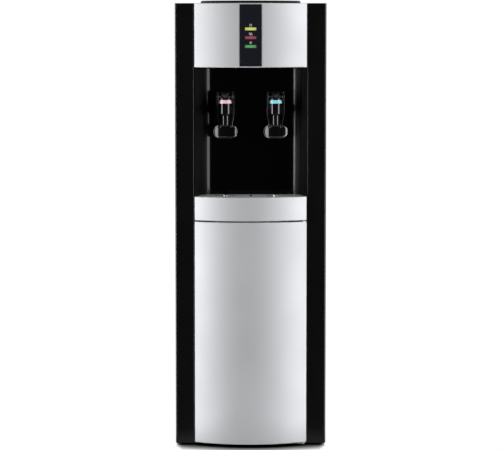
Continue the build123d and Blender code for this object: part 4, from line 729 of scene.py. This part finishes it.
def coil_spring(radius, rise):
    """A wire wound round an upright axis, from its lowest turn up."""
    shape = bmesh.new()
    stand = Matrix.Translation((radius, 0, 0)) @ Matrix.Rotation(math.pi / 2, 4, "X")
    section = bmesh.ops.create_circle(
        shape, cap_ends=True, radius=SPRING_WIRE / 2, segments=SPRING_SIDES, matrix=stand
    )["verts"]
    sweep(
        shape,
        section,
        cent=(0, 0, 0),
        axis=(0, 0, 1),
        dvec=(0, 0, rise / SPRING_STEPS),
        angle=2 * math.pi * SPRING_TURNS,
        steps=SPRING_STEPS,
    )
    return shape


# Valve springs, which shorten under the bonnet as a lever lifts its valve
springs_low, springs_high = (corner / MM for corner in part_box("tap_springs"))
spring_length = springs_high.z - springs_low.z
spring_radius = (springs_high.y - springs_low.y - SPRING_WIRE) / 2
for side in ("hot", "cold"):
    valve_low, valve_high = (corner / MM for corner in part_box(side + "_valve"))
    axis_x = (valve_low.x + valve_high.x) / 2
    axis_y = (springs_low.y + springs_high.y) / 2
    place = Matrix.Scale(MM, 4) @ Matrix.Translation((axis_x, axis_y, springs_low.z + SPRING_WIRE / 2))
    coil = copies(coil_spring(spring_radius, spring_length - SPRING_WIRE), [place])
    spring = add_piece(side + "_spring", coil, finishes["zinc_steel"])
    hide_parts("tap_springs")
    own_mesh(spring)

# Screen print: thin matt ink, off-white
ink = finish(
    "white_screen_print", "#cfd1d3", "#dcdee0",
    roughness=(0.5, 0.6), grain=0.8, relief=0.004, edge=0.05, IOR=1.5,
)


def add_stroke(shape, start, end):
    """Adds a straight printed stroke between two points of the symbol's plane."""
    start = Vector((start[0], 0, start[1]))
    end = Vector((end[0], 0, end[1]))
    along = end - start
    turn = Matrix.Rotation(math.atan2(along.x, along.z), 4, "Y")
    size = Matrix.Diagonal((SYMBOL_STROKE, PRINT_THICKNESS, along.length, 1))
    bmesh.ops.create_cube(shape, size=1, matrix=Matrix.Translation((start + end) / 2) @ turn @ size)


def add_arc(shape, middle, radius, first, angle, steps):
    """Adds a printed arc round a point of the symbol's plane, over an angle from the first one."""
    plate = Matrix.Diagonal((SYMBOL_STROKE / 2, PRINT_THICKNESS / 2, 1, 1))
    start = (
        Matrix.Translation((middle[0], 0, middle[1]))
        @ Matrix.Rotation(-first, 4, "Y")
        @ Matrix.Translation((radius, 0, 0))
        @ plate
    )
    square = Matrix.Rotation(math.pi / 4, 4, "Z")
    section = bmesh.ops.create_circle(
        shape, cap_ends=True, radius=math.sqrt(2), segments=4, matrix=start @ square
    )["verts"]
    sweep(shape, section, cent=(middle[0], 0, middle[1]), axis=(0, -1, 0), angle=angle, steps=steps)


def power_symbol():
    """A ring that is open at its top, with an upright stroke in the opening."""
    shape = bmesh.new()
    first = (math.pi + POWER_OPENING) / 2
    add_arc(shape, (0, 0), SYMBOL_RADIUS, first, 2 * math.pi - POWER_OPENING, POWER_STEPS)
    add_stroke(shape, (0, 0), (0, SYMBOL_REACH))
    return shape


def heat_symbol():
    """Three rising waves side by side."""
    shape = bmesh.new()
    bend = SYMBOL_RADIUS / 2
    for column in (-1, 0, 1):
        for row, side in ((-1, 0), (1, math.pi)):
            middle = (column * HEAT_SPACING, row * bend)
            add_arc(shape, middle, bend, side - math.pi / 2, math.pi, HEAT_STEPS)
    return shape


def snow_symbol():
    """Six arms round a middle, each with a pair of twigs."""
    shape = bmesh.new()
    for arm in range(SNOW_ARMS):
        angle = arm * 2 * math.pi / SNOW_ARMS
        tip = SYMBOL_REACH * Vector((math.sin(angle), math.cos(angle)))
        add_stroke(shape, (0, 0), tip)
        fork = SNOW_FORK * tip
        for turn in (angle - SNOW_TURN, angle + SNOW_TURN):
            add_stroke(shape, fork, fork + SNOW_TWIG * Vector((math.sin(turn), math.cos(turn))))
    return shape


strip_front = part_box("display_strip")[0].y / MM
print_middle = strip_front + PRINT_SINK - PRINT_THICKNESS / 2
for lens_node, symbol in (
    ("power_lens", power_symbol()),
    ("heating_lens", heat_symbol()),
    ("cooling_lens", snow_symbol()),
):
    low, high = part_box(lens_node)
    height = (low.z + high.z) / 2 / MM + SYMBOL_RISE
    place = Matrix.Scale(MM, 4) @ Matrix.Translation((0, print_middle, height))
    add_piece(lens_node.replace("lens", "symbol"), copies(symbol, [place]), ink)


def backdrop_share(tree, depth):
    """How much a ray shows of the white backdrop: all to the eye, and the part behind to gloss and glass."""
    path = add_node(tree, "ShaderNodeLightPath")
    behind = add_node(
        tree,
        "ShaderNodeMapRange",
        {"From Min": BACKDROP_STARTS, "From Max": BACKDROP_FULL},
        {"Value": depth},
        interpolation_type="SMOOTHSTEP",
    )
    gloss_or_glass = add_node(
        tree,
        "ShaderNodeMath",
        links={0: path.outputs["Is Glossy Ray"], 1: path.outputs["Is Transmission Ray"]},
        operation="MAXIMUM",
    )
    reflected = add_node(
        tree,
        "ShaderNodeMath",
        links={0: gloss_or_glass.outputs["Value"], 1: behind.outputs["Result"]},
        operation="MULTIPLY",
    )
    shown = add_node(
        tree,
        "ShaderNodeMath",
        links={0: path.outputs["Is Camera Ray"], 1: reflected.outputs["Value"]},
        operation="MAXIMUM",
    )
    return shown.outputs["Value"]


def floor_finish():
    """Pale studio floor: light grey to the lamps, white to the eye, darker where the object shelters it."""
    material, tree, output, coordinates = new_material("pale_studio_floor")
    along = add_node(tree, "ShaderNodeSeparateXYZ", links={"Vector": coordinates})
    aside = add_node(tree, "ShaderNodeMath", links={0: along.outputs["X"]}, operation="ABSOLUTE")
    reach = add_node(
        tree,
        "ShaderNodeMapRange",
        {
            "From Min": cad_box[1][0] - SHADOW_NARROWING,
            "From Max": cad_box[1][0],
            "To Min": SHADOW_REACH,
            "To Max": SHADOW_ASIDE,
        },
        {"Value": aside.outputs["Value"]},
    )
    shelter = add_node(
        tree,
        "ShaderNodeAmbientOcclusion",
        links={"Distance": reach.outputs["Result"]},
        samples=SHADOW_SAMPLES,
    )
    shade = add_node(
        tree, "ShaderNodeMath", {1: SHADOW_FALL}, {0: shelter.outputs["AO"]}, operation="POWER"
    )
    ground = add_node(
        tree, "ShaderNodeBsdfPrincipled", {"Base Color": linear("#c4c4c4"), "Roughness": 0.7, "IOR": 1.4}
    )
    white = add_node(
        tree, "ShaderNodeEmission", {"Color": linear("#ffffff")}, {"Strength": shade.outputs["Value"]}
    )
    share = backdrop_share(tree, along.outputs["Y"])
    shader = add_node(
        tree,
        "ShaderNodeMixShader",
        links={0: share, 1: ground.outputs["BSDF"], 2: white.outputs["Emission"]},
    )
    tree.links.new(shader.outputs["Shader"], output.inputs["Surface"])
    return material


# Studio floor: a disc under the object
shape = bmesh.new()
bmesh.ops.create_circle(shape, cap_ends=True, radius=FLOOR_RADIUS, segments=FLOOR_SIDES)
floor_mesh = bpy.data.meshes.new("studio_floor")
shape.to_mesh(floor_mesh)
shape.free()
floor_mesh.materials.append(floor_finish())
floor = bpy.data.objects.new("studio_floor", floor_mesh)
bpy.context.scene.collection.objects.link(floor)

# World: the white backdrop, and a room that is dim ahead of the object and light behind it
world = bpy.data.worlds.new("studio_room")
bpy.context.scene.world = world
world.use_nodes = True
tree = world.node_tree
tree.nodes.clear()
direction = add_node(tree, "ShaderNodeTexCoord")
along = add_node(tree, "ShaderNodeSeparateXYZ", links={"Vector": direction.outputs["Generated"]})
room = add_node(
    tree,
    "ShaderNodeMapRange",
    {"From Min": ROOM_FRONT, "From Max": ROOM_REAR, "To Min": FRONT_WORLD, "To Max": REAR_WORLD},
    {"Value": along.outputs["Y"]},
    interpolation_type="SMOOTHSTEP",
)
strength = add_node(
    tree,
    "ShaderNodeMix",
    {"B": 1.0},
    {"Factor": backdrop_share(tree, along.outputs["Y"]), "A": room.outputs["Result"]},
)
background = add_node(
    tree, "ShaderNodeBackground", {"Color": linear("#ffffff")}, {"Strength": strength.outputs["Result"]}
)
add_node(tree, "ShaderNodeOutputWorld", links={"Surface": background.outputs["Background"]})


def softbox(name, place, target, width, height, radiance):
    """A rectangular lamp at a place, facing a target, with the power that gives it a radiance."""
    lamp = bpy.data.lights.new(name, "AREA")
    lamp.shape = "RECTANGLE"
    lamp.size = width
    lamp.size_y = height
    lamp.energy = radiance * math.pi * width * height
    holder = bpy.data.objects.new(name, lamp)
    holder.location = place
    holder.rotation_euler = (Vector(target) - Vector(place)).to_track_quat("-Z", "Y").to_euler()
    bpy.context.scene.collection.objects.link(holder)


for name, angle, width, radiance in (
    ("left_softbox", -LEFT_ANGLE, LEFT_WIDTH, LEFT_RADIANCE),
    ("right_softbox", RIGHT_ANGLE, RIGHT_WIDTH, RIGHT_RADIANCE),
):
    place = (SOFTBOX_DISTANCE * math.sin(angle), -SOFTBOX_DISTANCE * math.cos(angle), SOFTBOX_MIDDLE)
    softbox(name, place, (0, 0, SOFTBOX_MIDDLE), width, SOFTBOX_HEIGHT, radiance)
softbox("top_softbox", (0, -TOP_AHEAD, TOP_HEIGHT), (0, 0, 0), TOP_SIZE, TOP_SIZE, TOP_RADIANCE)

# Camera
lens = bpy.data.cameras.new("camera")
lens.sensor_width = SENSOR_WIDTH
lens.lens = FOCAL_PIXELS * SENSOR_WIDTH / IMAGE_WIDTH
camera = bpy.data.objects.new("camera", lens)
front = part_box("left_side_panel")[0].y
camera.location = (CAMERA_ASIDE, front - CAMERA_DISTANCE, CAMERA_HEIGHT)
camera.rotation_euler = (math.pi / 2 - CAMERA_PITCH, 0, 0)
bpy.context.scene.collection.objects.link(camera)
bpy.context.scene.camera = camera
bpy.context.scene.view_settings.view_transform = "Standard"

bpy.context.view_layer.update()
